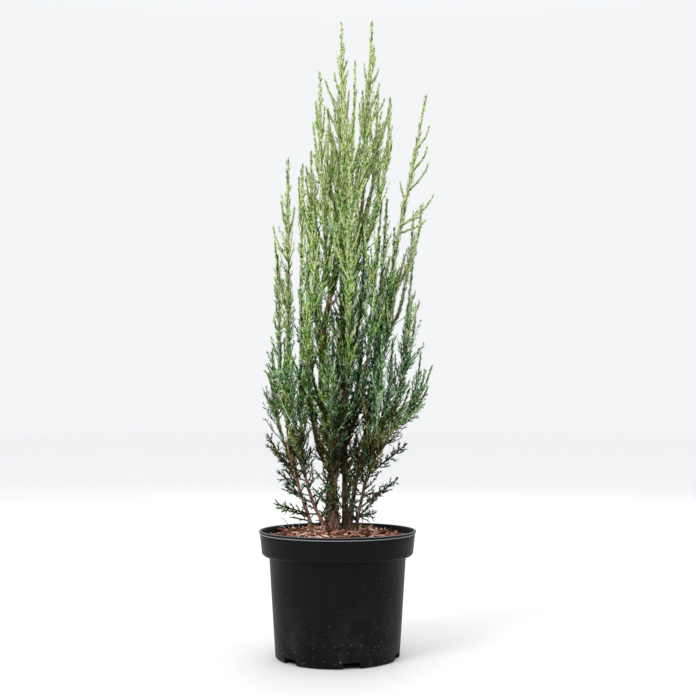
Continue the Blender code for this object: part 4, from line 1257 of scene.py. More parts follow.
def even_line(line):
    """Points one short step apart on a line, the share of the way of each, and the step."""
    points, share = fine_line(line, SAMPLE_SPACING)
    return points, share, float(np.linalg.norm(points[1] - points[0]))


def grow_mass(name, line, foot_radius, space, foliage):
    """One mass: its stem, its sprays and whips, branchlets along each and shoots on the long ones."""
    source = np.random.default_rng(list(name.encode()))
    small = name in FOOT_TWIGS
    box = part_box(name)
    points, share, step = even_line(line)
    length = step * (len(points) - 1)

    def is_free(cord):
        if small:
            return inside(cord, box, FOOT_BOX_MARGIN)
        if not inside(cord, box, REACH_MARGIN):
            return False
        return foliage.sky.is_clear(cord) and space.is_clear(name, cord)

    radii = STEM_TIP_RADIUS + (foot_radius - STEM_TIP_RADIUS) * (1 - share) ** STEM_TAPER_POWER
    material = "twig" if points[0, 2] < GREEN_STEMS else "green_twig"
    foliage.add(material, *tubes(points[None], radii[None], SIDEWAYS, STEM_SIDES))
    if small:
        cords, sizes = grow_sprays(points, step, FOOT_SHOOT_START, length - FOOT_SHOOT_END,
                                   FOOT_SHOOT_SPACING, twig_rule, source, is_free)
        grow_knobs(foliage, points[None], np.array([length]), foot_tones(1, source), source)
        grow_knobs(foliage, cords, sizes, foot_tones(len(cords), source), source)
        return
    dress_stem(name, points, radii, BARE_SHARE, foliage, source, STEM_SHOOT_GAINS.get(name, 1.0))
    slim = SLIM_MASSES.get(name, 1.0)

    def rule(height, left, source):
        lengths, leans = mass_rule(height, left, source)
        return lengths * slim, leans

    cords, sizes = grow_sprays(points, step, BARE_STEM * 0.5, length - TIP_BARE, SPRAY_SPACING, rule, source,
                               is_free)
    leaf_out(name, cords, sizes, foliage, source)
    grow_whips(name, points, step, space, foliage, source)


def leaf_out(name, cords, sizes, foliage, source):
    """Leaves, side shoots and brown tips of the sprays of a mass."""
    tones = tones_of(name, cords, source)
    add_cords(foliage, cords, sizes, SPRAY_RADIUS, tones, SPRAY_NODE, LEAF_LENGTH * SPRAY_LEAF_GAIN, source,
              SPRAY_BARE, True)
    grow_branchlets(foliage, cords, sizes, tones, source)
    ends = cords[(source.random(len(cords)) < BROWN_TIP_SHARE) & (cords[:, -1, 2] > BROWN_TIP_FOOT)][:, -2:]
    if len(ends):
        radii = np.full(ends.shape[:2], BROWN_TIP_RADIUS)
        foliage.add(BROWN_TIP, *tubes(ends, radii, np.repeat(SIDEWAYS, len(ends), axis=0), BROWN_TIP_SIDES))


def grow_whips(name, points, step, space, foliage, source):
    """Long whips beside a mass's stem, and the lone shoots of its outline."""
    count = WHIP_COUNTS.get(name, WHIP_COUNT)
    length = step * (len(points) - 1)

    def is_free(cord):
        if not inside(cord, CAD_BOX, (0.0, 0.0, -BELOW_TOP)):
            return False
        return foliage.sky.is_clear(cord) and space.is_off_bark(cord)

    shares = WHIP_STARTS[0] + (WHIP_STARTS[1] - WHIP_STARTS[0]) * (np.arange(count) + 0.5) / max(1, count)
    starts, alongs = places(points, length * shares, step)
    outwards = side_directions(alongs, np.arange(count) * GOLDEN_ANGLE + source.uniform(0, math.tau))
    for k in range(count):
        lean = between(WHIP_LEAN, starts[k, 2]) * spread(source, WHIP_LEAN_SPREAD)
        reach = spread(source, WHIP_LENGTH)
        for scale in TRIES[:WHIP_TRIES]:
            size = np.array([min(reach * scale, length * (1.0 - shares[k]) * WHIP_SHARE)])
            cord = curved_cords(starts[k:k + 1], alongs[k:k + 1], outwards[k:k + 1], size, np.array([lean]),
                                WHIP_POINTS, WHIP_TIP_LEAN)[0]
            if is_free(cord[WHIP_FREE_FROM:]):
                grow_whip(name, cord, foliage, source, is_free)
                break
    for height, tip in LONE_SHOOTS.get(name, []):
        start = at_height(points, height)
        cord = np.array([tuple(start)] + way_points(start, tip, LONE_BEND))
        grow_whip(name, cord, foliage, source, is_free, LONE_SHOOT_GAIN)


def grow_whip(name, cord, foliage, source, is_free, gain=WHIP_SHOOT_GAIN):
    """One whip along a cord, with close shoots and short sprays of its own."""
    line, share, pace = even_line(cord)
    radii = STEM_TIP_RADIUS + WHIP_RADIUS_GAIN * (1 - share)
    foliage.add("green_twig", *tubes(line[None], radii[None], SIDEWAYS, WHIP_SIDES))
    dress_stem(name, line, radii, WHIP_BARE, foliage, source, gain)
    last = pace * (len(line) - 1) - TIP_BARE
    cords, sizes = grow_sprays(line, pace, WHIP_SPRAY_START, last, SPRAY_SPACING, whip_rule, source, is_free)
    if len(cords):
        leaf_out(name, cords, sizes, foliage, source)


def grow_on_limb(name, line, radii, space, foliage):
    """Sprays on a limb itself, shoots held close to its green top and low twigs on its bare foot."""
    source = np.random.default_rng(list(("limb " + name).encode()))
    points, share, step = even_line(line)
    length = step * (len(points) - 1)

    def is_free(cord):
        if not inside(cord, CAD_BOX, 0.0) or cord[:, 2].min() <= MULCH_CROWN + MULCH_CLEARANCE:
            return False
        return foliage.sky.is_clear(cord)

    foot = LIMB_START
    if points[0, 2] < LIMB_FOLIAGE_FOOT:
        foot = float(np.interp(LIMB_FOLIAGE_FOOT, points[:, 2], np.arange(len(points)) * step))
    cords, sizes = grow_sprays(points, step, foot, length, LIMB_SPRAY_SPACING, limb_rule, source, is_free)
    tones = tones_of(name, cords, source)
    # Painted shade: the sprays on the limbs, deep in the crown, drawn a level darker
    tones = np.where(tones % LEVELS > 0, tones - 1, tones)
    add_cords(foliage, cords, sizes, SPRAY_RADIUS, tones, SPRAY_NODE, LEAF_LENGTH * SPRAY_LEAF_GAIN, source,
              LIMB_BARE)
    grow_branchlets(foliage, cords, sizes, tones, source)
    bare_height = BARE_LIMBS.get(name, GREEN_LIMBS)
    if points[-1, 2] > bare_height:
        bare = float(np.interp(bare_height, points[:, 2], share))
        fine_radii = np.interp(share, np.linspace(0, 1, len(radii)), radii)
        for k in range(LIMB_LAYERS):
            dress_stem(name, points, fine_radii, bare, foliage, source, LIMB_SHOOT_GAIN)
    if name in STEMS:
        cords, sizes = grow_sprays(points, step, FOOT_SPRAY_START, foot + FOOT_SPRAY_OVERLAP,
                                   FOOT_SPRAY_SPACING[name], foot_rule, source, is_free)
        grow_knobs(foliage, cords, sizes, foot_tones(len(cords), source), source)
    twigs = list(LONE_TWIGS.get(name, []))
    count, heights, reach = FOOT_FANS.get(name, (0, (0.0, 0.0), 0.0))
    for k in range(count):
        height = heights[0] + (heights[1] - heights[0]) * k / count
        foot = at_height(points, height)
        out = np.array([reach * spread(source, FAN_REACH), spread(source, FAN_DEPTH),
                        spread(source, FAN_RISE)])
        if foliage.sky.is_clear(np.linspace(foot, foot + out, FAN_POINTS)):
            twigs.append((height, tuple(foot + out)))
    for height, tip in twigs:
        start = at_height(points, height)
        line, share, step = even_line([tuple(start)] + way_points(start, tip, STRAIGHT))
        radii = FOOT_TWIG_RADIUS * (1.0 - FOOT_TWIG_TAPER * share)
        foliage.add("twig", *tubes(line[None], radii[None], SIDEWAYS, FOOT_TWIG_SIDES))
        grow_knobs(foliage, line[None], np.array([step * (len(line) - 1)]), foot_tones(1, source), source)


def dress_stem(name, points, radii, bare, foliage, source, gain=1.0):
    """Scale leaves along a stem and short shoots held close to it, past a bare share of its length."""
    step = float(np.linalg.norm(points[1] - points[0]))
    length = step * (len(points) - 1)
    stations = np.arange(length * bare, length - CLOSE_END, CLOSE_SPACING)
    starts, alongs = places(points, stations, step)
    outwards = side_directions(alongs, np.arange(len(stations)) * GOLDEN_ANGLE + source.uniform(0, math.tau))
    thickness = np.interp(stations, np.arange(len(points)) * step, radii)
    starts = starts + outwards * thickness[:, None] * CLOSE_ROOT
    left = length - stations
    sizes = spread(source, CLOSE_LENGTH, len(stations)) * gain + np.minimum(left, CLOSE_RUN) * CLOSE_GAIN
    sizes = np.minimum(sizes, left * CLOSE_LIMIT[0] + CLOSE_LIMIT[1])
    leans = spread(source, CLOSE_LEAN, len(stations)) * gain
    cords = curved_cords(starts, alongs, outwards, sizes, leans, SHOOT_POINTS, CLOSE_TIP_LEAN)
    tones = tones_of(name, cords, source, CLOSE_TONE_SPREAD)
    tones = shaded(tones, source.choice(CLOSE_SHADES, len(cords)))
    add_cords(foliage, cords, sizes, CLOSE_RADIUS, tones, SHOOT_NODE, CLOSE_LEAF, source, CLOSE_BARE)
    blades = leaves(points[None], np.array([length]), radii[None], SIDEWAYS, STEM_NODE, STEM_LEAF, source,
                    bare)
    deal_leaves(foliage, int(np.median(tones)), blades, source)


def foot_tones(count, source):
    """Dark tones for the low twigs, with a few lighter ones."""
    levels = source.choice(FOOT_LEVELS, count)
    return levels + source.choice(FOOT_LEVELS, count) * LEVELS


def grow_knobs(foliage, cords, lengths, tones, source):
    """The low twigs: thick cords with short blunt shoots that stand well out from them."""
    if not len(cords):
        return
    add_cords(foliage, cords, lengths, KNOB_RADIUS, tones, KNOB_NODE, KNOB_LEAF, source, KNOB_BARE)
    owner, share, start, along, outward = side_places(cords, lengths, KNOB_SPACING, KNOB_START, source)
    size = spread(source, KNOB_LENGTH, len(owner)) * (KNOB_TAPER[0] - KNOB_TAPER[1] * share)
    lean = spread(source, KNOB_LEAN, len(owner))
    shoots = curved_cords(start, along, outward, size, lean, SHOOT_POINTS, KNOB_TIP_LEAN)
    lighter = shaded(tones[owner], source.choice(KNOB_SHADES, len(owner)))
    add_cords(foliage, shoots, size, KNOB_SHOOT_RADIUS, lighter, KNOB_SHOOT_NODE, KNOB_SHOOT_LEAF, source,
              KNOB_BARE)


def add_cords(foliage, cords, lengths, radius, tones, node, leaf_size, source, bare, is_open=False):
    """Leafy cords dealt out by tone, with cores darkened as painted shade, and without leaves before the sky
    where open.
    """
    guide = unit(source.normal(size=(len(cords), 3)))
    share = np.linspace(0.0, 1.0, cords.shape[1])
    radii = radius * (1.0 - CORD_TAPER * share)[None, :] * np.ones((len(cords), 1))
    for tone in np.unique(tones):
        mine = tones == tone
        # Painted shade: the core drawn darker than its leaves
        core = int(shaded(tone, CORE_SHADES[tone % LEVELS]))
        foliage.add(core, *tubes(cords[mine], radii[mine], guide[mine], CORD_SIDES))
        blades = leaves(cords[mine], lengths[mine], radii[mine], guide[mine], node, leaf_size, source, bare)
        if is_open:
            blades = blades[~foliage.sky.hides(blades[:, 3])]
        deal_leaves(foliage, tone, blades, source)


def deal_leaves(foliage, tone, blades, source):
    """Leaves of two triangles each, dealt out among a tone and its neighbours."""
    # Leaves three levels lighter are painted highlights
    shades = DULL_LEAF_SHADES if tone >= 2 * LEVELS else LEAF_SHADES
    levels = shaded(np.full(len(blades), tone), source.choice(shades, len(blades)))
    for level in np.unique(levels):
        some = blades[levels == level]
        base = (np.arange(len(some)) * 4)[:, None]
        faces = np.concatenate([base + np.array([[0, 1, 3]]), base + np.array([[1, 2, 3]])])
        foliage.add(int(level), some.reshape(-1, 3), faces)


def side_places(cords, lengths, spacing, bare, source):
    """Places along the two sides of cords: the cord, the share of its way, the start and the directions."""
    most = int(lengths.max() / spacing) + 1
    steps = np.arange(most)[None, :] + spread(source, SIDE_WANDER, (len(cords), most))
    stations = steps * spacing / lengths[:, None]
    owner, node = np.nonzero((stations < SIDE_END) & (stations > bare))
    share = stations[owner, node]
    place = share * (cords.shape[1] - 1)
    index = np.minimum(place.astype(int), cords.shape[1] - 2)
    place = (place - index)[:, None]
    start = cords[owner, index] * (1 - place) + cords[owner, index + 1] * place
    along = unit(cords[owner, index + 1] - cords[owner, index])
    wander = source.uniform(-TURN_WANDER, TURN_WANDER, len(node))
    angle = node * math.pi + (node // 2) * PAIR_TURN + wander + owner * CORD_TURN
    return owner, share, start, along, side_directions(along, angle)


def grow_branchlets(foliage, cords, lengths, tones, source, level=1):
    """Side shoots along cords, shorter towards the tip, and one level more on the long ones."""
    spacing, bare, longest = BRANCHLET_SPACING, BRANCHLET_BARE, BRANCHLET_LENGTH
    if level == 2:
        spacing, bare, longest = TWIGLET_SPACING, TWIGLET_BARE, TWIGLET_LENGTH
    owner, share, start, along, outward = side_places(cords, lengths, spacing, bare, source)
    if not len(owner):
        return
    height = start[:, 2]
    length = between(longest, height) * (BRANCHLET_TAPER[0] - BRANCHLET_TAPER[1] * share)
    length = length * spread(source, BRANCHLET_SPREAD, len(share))
    length = np.minimum(length, lengths[owner] * (1.0 - share) * BRANCHLET_LIMIT[0] + BRANCHLET_LIMIT[1])
    lean = between(BRANCHLET_LEAN, height) * spread(source, BRANCHLET_LEAN_SPREAD, len(share))
    shoots = curved_cords(start, along, outward, length, lean, SHOOT_POINTS, BRANCHLET_TIP_LEAN)
    # Painted shade near the foot of the spray; near its tip painted light together with paler young growth
    shift = np.where(share < DARK_SHARE, -1, 0) + source.choice(BRANCHLET_SHADES, len(share))
    shift += np.where((share > LIGHT_SHARE) & (source.random(len(share)) < LIGHT_CHANCE), 1, 0)
    shoot_tones = shaded(tones[owner], shift)
    kept = ~foliage.sky.hides(shoots[:, 1:]).any(axis=1)
    shoots, length, shoot_tones = shoots[kept], length[kept], shoot_tones[kept]
    if not len(shoots):
        return
    add_cords(foliage, shoots, length, SHOOT_RADIUS, shoot_tones, SHOOT_NODE, LEAF_LENGTH, source,
              BRANCHLET_LEAF_BARE)
    long = length > LONG_BRANCHLET
    if level == 1 and np.any(long):
        grow_branchlets(foliage, shoots[long], length[long], shoot_tones[long], source, 2)


def rise(values, start, run, most=1.0):
    """Shares that grow from 0 at a start to their most, over a run that may go down instead of up."""
    return np.clip((values - start) / run, 0.0, most)


def tones_of(name, cords, source, spread_of_tone=TONE_SPREAD):
    """A tone for each spray: light high and outside, dark low and inside, in one of three families; painted
    light and shade, with paler young growth high up.
    """
    tips = cords[:, -1]
    x, z = tips[:, 0], tips[:, 2]
    # Lighter high up, partly for paler young growth and partly as painted light
    height = rise(z, *HEIGHT_SPAN)
    # Painted shade and light: darker inside the crown, lighter towards its outside
    axis = np.array([AXIS_LEAN * (z - AXIS_START), np.zeros(len(tips))]).T
    crown = np.interp(z, CROWN_HEIGHTS, CROWN_RADII)
    outer = np.clip(np.linalg.norm(tips[:, :2] - axis, axis=1) / crown, 0.0, OUTER_MOST)
    bright = BRIGHT_MASSES.get(name, 0.0) * rise(z, *BRIGHT_SPAN)
    tone = HEIGHT_TONE * height ** HEIGHT_POWER + OUTER_TONE * outer * (1.0 - OUTER_FADE * height) + bright
    # Painted shade and light in the listed ovals
    for middle, level, half_width, half_height, change in PAINTED_SHADE_AND_LIGHT:
        tone += change * np.exp(-((x - middle) / half_width) ** 2 - ((z - level) / half_height) ** 2)
    # Painted shade: darker low down, under the crown
    foot = rise(z, *FOOT_SPAN)
    tone = tone - FOOT_TONE * foot + source.normal(0.0, spread_of_tone, len(tips))
    cool_share = np.clip(COOL_START - COOL_FALL * height + COOL_RIGHT * x - COOL_FOOT * foot, *COOL_SHARES)
    if name in BRIGHT_MASSES:
        cool_share = cool_share * BRIGHT_COOL
    cool = source.random(len(tips)) < cool_share
    high = rise(z, *HIGH_SPAN)
    dull_share = rise(z, *DULL_SPAN, DULL_MOST) + rise(x, *RIGHT_SPAN, RIGHT_DULL_MOST) * high
    dull = source.random(len(tips)) < dull_share
    level = np.clip((tone * LEVELS).astype(int), 0, LEVELS - 1)
    return level + np.where(dull, 2 * LEVELS, np.where(cool, LEVELS, 0))


def make_foliage(limbs):
    """Grow every mass and the foliage on the limbs, and make pieces of it by kind and tint."""
    stems = lay_out_stems(limbs)
    space = Space(limbs, stems)
    foliage = Foliage()
    for name, (line, radius) in stems.items():
        grow_mass(name, line, radius, space, foliage)
    for name, (line, radii) in limbs.items():
        grow_on_limb(name, line, radii, space, foliage)
    masses = list(stems)
    for kind in ("twig", "green_twig"):
        for piece in foliage.pieces(kind + "s", bark(kind), kind):
            dress(piece, "bark", *masses)
    for number, (name, colour) in enumerate(TINTS):
        for piece in foliage.pieces("foliage_" + name, leaf(name, srgb(*colour)), number):
            dress(piece, "foliage", *masses)


def bark_swell(angle, height, number):
    """How far the ridges of the bark stand out, as a share of a limb's radius."""
    swell = 1.0
    for around, up, apart, depth in RIDGES:
        spot = Vector((math.cos(angle) * around, math.sin(angle) * around, height * up + number * apart))
        swell += depth * noise.noise(spot)
    return swell


def make_limbs(limbs):
    """Stems and boughs with fibrous ridges, knots where twigs left them and a flare at the foot."""
    barks = {kind: bark(kind) for kind in ("brown", "tan", "dull", "red")}
    for number, (name, (line, radii)) in enumerate(limbs.items()):
        standing = name in STEMS
        if standing:
            line = np.concatenate([line[:1] - np.array([[0.0, 0.0, FOOT_RISE + BURIED]]), line])
            radii = np.concatenate([radii[:1], radii])
        points, share = fine_line(line, BARK_STEP)
        radius = np.interp(share, np.linspace(0, 1, len(radii)), radii) * SLENDER_LIMBS.get(name, 1.0)
        sides = TRUNK_SIDES if name == "trunk" else LIMB_SIDES
        along, across, over = frames(points[None], np.array([[1.0, 0.05, 0.0]]))
        rows = []
        knots = random.Random(name)
        bumps = [(knots.random(), knots.uniform(0, math.tau)) for k in range(int(len(points) / KNOT_SPACING))]
        for k, (place, size) in enumerate(zip(points, radius)):
            ring = []
            for s in range(sides):
                angle = math.tau * s / sides
                swell = bark_swell(angle, place[2], number)
                for height, turn in bumps:
                    near = (share[k] - height) * share.size * BARK_STEP / KNOT_SIZE
                    facing = math.cos(angle - turn)
                    if abs(near) < KNOT_REACH and facing > KNOT_FACING:
                        swell += KNOT_SWELL * math.exp(-near * near) * (facing - KNOT_FACING)
                if standing:
                    flare = math.exp(-max(0.0, place[2] - GROUND) / FLARE_HEIGHT)
                    swell += FLARE * flare + LOBES * flare * math.sin(FLARE_LOBES * angle)
                out = across[0, k] * math.cos(angle) + over[0, k] * math.sin(angle)
                ring.append(place + out * size * swell)
            rows.append(ring)
        item = add_mesh(name + "_bark", np.array(rows).reshape(-1, 3), [ring_faces(len(points), sides)],
                        barks[LIMB_BARKS.get(name, "dull")], smooth=True)
        dress(item, "bark", name)


# Pot and mulch

def turned(name, profile, steps, material):
    """A turned solid from a closed profile of (radius, height) points that runs down its outer side."""
    mesh = bpy.data.meshes.new(name)
    edges = [(k, k + 1) for k in range(len(profile) - 1)]
    mesh.from_pydata([(radius, 0.0, height) for radius, height in profile], edges, [])
    mesh.materials.append(material)
    item = bpy.data.objects.new(name, mesh)
    bpy.context.scene.collection.objects.link(item)
    screw = item.modifiers.new("turn", "SCREW")
    screw.axis = "Z"
    screw.angle = math.tau
    screw.steps = steps
    screw.render_steps = steps
    screw.use_merge_vertices = True
    screw.merge_threshold = MERGE_GAP
    return item


def arc(centre, radius, start, end, count):
    """Points on an arc of a profile, as (radius, height), from one angle in degrees to another."""
    angles = [math.radians(start + (end - start) * k / count) for k in range(count + 1)]
    return [(centre[0] + radius * math.cos(a), centre[1] + radius * math.sin(a)) for a in angles]


def make_pot():
    """The pot with its rolled lip, the fine line under it, the rounded shoulder and the notched foot."""
    collar_foot = POT_HEIGHT - LIP_DEPTH - COLLAR_DEPTH
    bead = LIP_DEPTH / 2
    lip = arc((LIP_RADIUS - bead, POT_HEIGHT - bead), bead, *LIP_ARC)
    under_lip = [(COLLAR_TOP_RADIUS + out, POT_HEIGHT - LIP_DEPTH - down) for out, down in LIP_UNDERSIDE]
    step = COLLAR_FOOT_RADIUS - BODY_TOP_RADIUS
    turns = [math.radians(SHOULDER_TURN * k) for k in range(1, SHOULDER_RINGS + 1)]
    shoulder = [(BODY_TOP_RADIUS + step * math.cos(turn), collar_foot - SHOULDER_DEPTH * math.sin(turn))
                for turn in turns]
    neck = [(BODY_TOP_RADIUS + out, collar_foot - SHOULDER_DEPTH - down) for out, down in NECK]
    slope = (BODY_TOP_RADIUS - BASE_RADIUS) / (collar_foot - SHOULDER_DEPTH)
    body = [(BASE_RADIUS + slope * height, height) for height in BODY_HEIGHTS]
    foot = arc((BASE_RADIUS - FOOT_ROUND, FOOT_ROUND), FOOT_ROUND, 0, -90, FOOT_RINGS)
    inner = [(0.0, FLOOR), (BASE_RADIUS - WALL - FLOOR_INSET, FLOOR),
             (BODY_TOP_RADIUS - WALL, collar_foot - SHOULDER_DEPTH - WALL),
             (COLLAR_FOOT_RADIUS - WALL, collar_foot), (COLLAR_TOP_RADIUS - WALL, POT_HEIGHT - LIP_DEPTH)]
    collar = [(COLLAR_TOP_RADIUS + (COLLAR_FOOT_RADIUS - COLLAR_TOP_RADIUS) * k / COLLAR_RUNS,
               POT_HEIGHT - LIP_DEPTH - COLLAR_START - (COLLAR_DEPTH - COLLAR_START) * k / COLLAR_RUNS)
              for k in range(COLLAR_RUNS + 1)]
    profile = inner + lip + under_lip + collar + shoulder + neck + body + foot + [(0.0, 0.0)]
    pot = turned("nursery_pot", profile, POT_STEPS, pot_plastic())
    cutters = []
    for k in range(NOTCH_COUNT):
        angle = NOTCH_PHASE + k * math.tau / NOTCH_COUNT
        bpy.ops.mesh.primitive_cube_add(size=1.0)
        cutter = bpy.context.object
        cutter.scale = (2 * NOTCH_DEPTH, NOTCH_WIDTH, 2 * NOTCH_HEIGHT)
        cutter.location = (BASE_RADIUS * math.cos(angle), BASE_RADIUS * math.sin(angle), 0.0)
        cutter.rotation_euler = (0.0, 0.0, angle)
        cut = pot.modifiers.new("notch", "BOOLEAN")
        cut.operation = "DIFFERENCE"
        cut.object = cutter
        cutters.append(cutter)
    bpy.context.view_layer.update()
    mesh = bpy.data.meshes.new_from_object(pot.evaluated_get(bpy.context.evaluated_depsgraph_get()))
    pot.modifiers.clear()
    pot.data = mesh
    mesh.shade_smooth()
    mesh.set_sharp_from_angle(angle=SHARP_ANGLE)
    for cutter in cutters:
        bpy.data.objects.remove(cutter, do_unlink=True)
    dress(pot, "pot", "pot")


def mulch_height(radius):
    """Height of the mulch at a distance from the middle: crowned round the stems and lower at the wall."""
    edge = COLLAR_FOOT_RADIUS
    share = np.clip((radius - MULCH_CROWN_RADIUS) / (edge - MULCH_CROWN_RADIUS), 0, 1)
    return MULCH_CROWN + (MULCH_EDGE - MULCH_CROWN) * (1 - np.cos(math.pi * share)) / 2


def make_mulch():
    """A bed of crumbs, thousands of bark shreds and chips on it, a patch of moss and a few dry straws."""
    source = np.random.default_rng(MULCH_SEED)
    outer = COLLAR_FOOT_RADIUS - WALL - MULCH_GAP
    radius = outer * np.linspace(0.0, 1.0, MULCH_RINGS)[:, None] * np.ones((1, MULCH_SPOKES))
    angle = np.linspace(0, math.tau, MULCH_SPOKES, endpoint=False)[None, :] * np.ones((MULCH_RINGS, 1))
    x, y = radius * np.cos(angle), radius * np.sin(angle)
    rough = np.array([[noise.fractal(Vector((x[i, j] * MULCH_WAVES, y[i, j] * MULCH_WAVES, 0.0)), 0.8, 2.0, 4)
                       for j in range(MULCH_SPOKES)] for i in range(MULCH_RINGS)])
    z = mulch_height(radius) - MULCH_SINK + rough * MULCH_ROUGHNESS
    upward = ring_faces(MULCH_RINGS, MULCH_SPOKES)[:, [0, 3, 2, 1]]
    bed = add_mesh("mulch_bed", np.stack([x, y, z], -1).reshape(-1, 3), [upward],
                   shred("mulch_soil", srgb(*SOIL_COLOUR)), smooth=True)
    dress(bed, "mulch", "mulch")
    for name, colour, share in SHRED_KINDS:
        item = add_mesh(name, *shreds(source, int(SHRED_COUNT * share)), shred(name, srgb(*colour)))
        dress(item, "mulch", "mulch")
    item = add_mesh("moss", *moss(source), shred("moss", srgb(*MOSS_COLOUR)))
    dress(item, "mulch", "mulch")
    item = add_mesh("straws", *straws(source), shred("straws", srgb(*STRAW_COLOUR)), smooth=True)
    dress(item, "mulch", "mulch")


def moss(source):
    """Short pointed tufts in a patch beside the stems: points and faces."""
    angle = source.uniform(0, math.tau, MOSS_TUFTS)
    lobes = 0.80 + 0.20 * np.sin(3 * angle + 0.8) + 0.10 * np.sin(7 * angle)
    reach = np.abs(source.normal(0.0, MOSS_SPREAD, MOSS_TUFTS)) * lobes
    x = MOSS_PLACE[0] + MOSS_REACH[0] * reach * np.cos(angle)
    y = MOSS_PLACE[1] + MOSS_REACH[1] * reach * np.sin(angle)
    foot = np.stack([x, y, mulch_height(np.hypot(x, y)) - 0.001], -1)
    way = unit(source.normal(size=(MOSS_TUFTS, 3)) * MOSS_LEAN + np.array([0.0, 0.0, 1.0]))
    share = np.linspace(0.0, 1.0, 3)[None, :, None]
    cords = foot[:, None] + way[:, None] * share * spread(source, MOSS_LENGTH, MOSS_TUFTS)[:, None, None]
    radii = np.full((MOSS_TUFTS, 3), MOSS_RADIUS)
    points, quads, triangles = tubes(cords, radii, unit(source.normal(size=(MOSS_TUFTS, 3))), CORD_SIDES)
    return points, [quads, triangles]


def straws(source):
    """Thin dry blades that lean out of the mulch at the left: points and faces."""
    feet, tips = np.array(STRAW_FEET), np.array(STRAW_TIPS)
    foot = np.concatenate([feet, mulch_height(np.hypot(feet[:, 0], feet[:, 1]))[:, None] - 0.002], axis=1)
    tip = np.concatenate([tips[:, :2], foot[:, 2:] + tips[:, 2:]], axis=1)
    share = np.linspace(0.0, 1.0, STRAW_POINTS)[None, :, None]
    cords = foot[:, None] * (1 - share) + tip[:, None] * share
    cords[:, :, 2] += STRAW_BOW * np.sin(math.pi * share[:, :, 0])
    radii = np.full(cords.shape[:2], STRAW_RADIUS)
    points, quads, triangles = tubes(cords, radii, unit(source.normal(size=(len(feet), 3))), WHIP_SIDES)
    return points, [quads, triangles]


def shreds(source, count):
    """Bent, tapering slivers of bark that lie on the mulch: points and faces."""
    outer = COLLAR_FOOT_RADIUS - WALL - SHRED_WALL_GAP
    radius = outer * np.sqrt(source.uniform(0.0, 1.0, count))
    angle = source.uniform(0, math.tau, count)
    length = spread(source, SHRED_LENGTH, count)
    length = length * np.where(source.random(count) < SHORT_SHREDS[0], SHORT_SHREDS[1], 1.0)
    width = spread(source, SHRED_WIDTH, count)
    thick = spread(source, SHRED_THICKNESS, count)
    turn = source.uniform(0, math.tau, count)
    pitch = source.normal(0.0, SHRED_PITCH, count)
    roll = source.normal(0.0, SHRED_ROLL, count)
    height = mulch_height(radius) - SHRED_SINK + source.uniform(0.0, SHRED_RISE, count)
    length = np.minimum(length, np.maximum(SHORTEST_SHRED, (outer + SHRED_OVERHANG - radius) * 2))
    centre = np.stack([radius * np.cos(angle), radius * np.sin(angle), height], -1)
    along = np.stack([np.cos(turn) * np.cos(pitch), np.sin(turn) * np.cos(pitch), np.sin(pitch)], -1)
    side = unit(np.cross(np.array([0.0, 0.0, 1.0]), along))
    up = np.cross(along, side)
    across = side * np.cos(roll)[:, None] + up * np.sin(roll)[:, None]
    up = np.cross(along, across)
    sections = []
    bend = source.normal(0.0, SHRED_BEND, count)
    skew = source.normal(0.0, SHRED_SKEW, count)
    for place, size in SHRED_SECTIONS:
        wide = width * size * spread(source, SHRED_WIDTHS, count)
        bow = 0.25 - place * place
        middle = (centre + along * (place * length)[:, None] + up * (bend * length * bow)[:, None] * 2
                  + across * (skew * length * bow)[:, None] * 2)
        for a, b in SHRED_CORNERS:
            sections.append(middle + across * (a * wide / 2)[:, None] + up * (b * thick / 2)[:, None])
    points = np.stack(sections, axis=1)
    sides = len(SHRED_CORNERS)
    ends = np.array([[3, 2, 1, 0], [12, 13, 14, 15]])
    quads = np.concatenate([ring_faces(len(SHRED_SECTIONS), sides), ends])
    base = (np.arange(count) * sides * len(SHRED_SECTIONS))[:, None, None]
    return points.reshape(-1, 3), [(base + quads[None]).reshape(-1, 4)]


# Stage

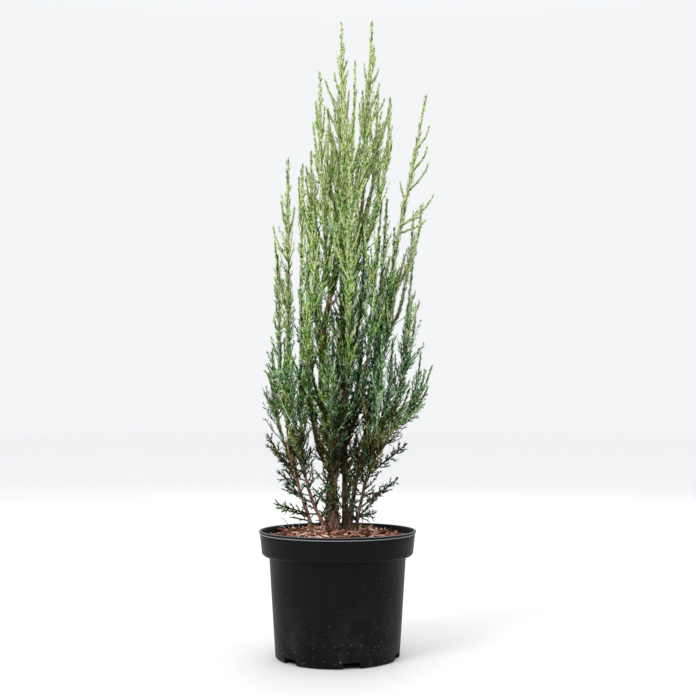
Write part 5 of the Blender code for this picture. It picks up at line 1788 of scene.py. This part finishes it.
def make_stage():
    """A pale floor and soft light."""
    floor_shader = Shader("floor", 0.75)
    floor_shader.main.inputs["Base Color"].default_value = (FLOOR_SHADE, FLOOR_SHADE, FLOOR_SHADE, 1)
    bpy.ops.mesh.primitive_circle_add(vertices=FLOOR_SIDES, radius=FLOOR_RADIUS, fill_type="NGON",
                                      location=(0, 0, -FLOOR_DROP))
    floor = bpy.context.object
    floor.name = "floor"
    floor.data.materials.append(floor_shader.material)
    world = bpy.context.scene.world or bpy.data.worlds.new("sky")
    bpy.context.scene.world = world
    world.use_nodes = True
    tree = world.node_tree
    place = tree.nodes.new("ShaderNodeTexCoord")
    split = tree.nodes.new("ShaderNodeSeparateXYZ")
    rise = tree.nodes.new("ShaderNodeMapRange")
    rise.inputs["From Min"].default_value = SKY_START
    rise.inputs["To Min"].default_value = SKY_LOW
    rise.inputs["To Max"].default_value = SKY_HIGH
    tree.links.new(place.outputs["Generated"], split.inputs["Vector"])
    tree.links.new(split.outputs["Z"], rise.inputs["Value"])
    tree.links.new(rise.outputs["Result"], tree.nodes["Background"].inputs["Strength"])
    tree.nodes["Background"].inputs["Color"].default_value = SKY_COLOUR
    bpy.context.scene.view_settings.view_transform = "Standard"
    for name, place, size, power in LIGHTS:
        data = bpy.data.lights.new(name, "AREA")
        data.size = size
        data.energy = power
        item = bpy.data.objects.new(name, data)
        item.location = place
        item.rotation_euler = (Vector(LIGHT_AIM) - Vector(place)).to_track_quat("-Z", "Y").to_euler()
        bpy.context.scene.collection.objects.link(item)


def make_camera():
    """The camera of the photo's front view."""
    data = bpy.data.cameras.new("camera")
    data.lens = CAMERA_LENS
    camera = bpy.data.objects.new("camera", data)
    camera.location = CAMERA_PLACE
    camera.rotation_euler = (CAMERA_PITCH, 0.0, 0.0)
    bpy.context.scene.collection.objects.link(camera)
    bpy.context.scene.camera = camera


make_camera()
make_stage()
limbs = lay_out_limbs()
make_pot()
make_mulch()
make_limbs(limbs)
make_foliage(limbs)

bpy.context.view_layer.update()
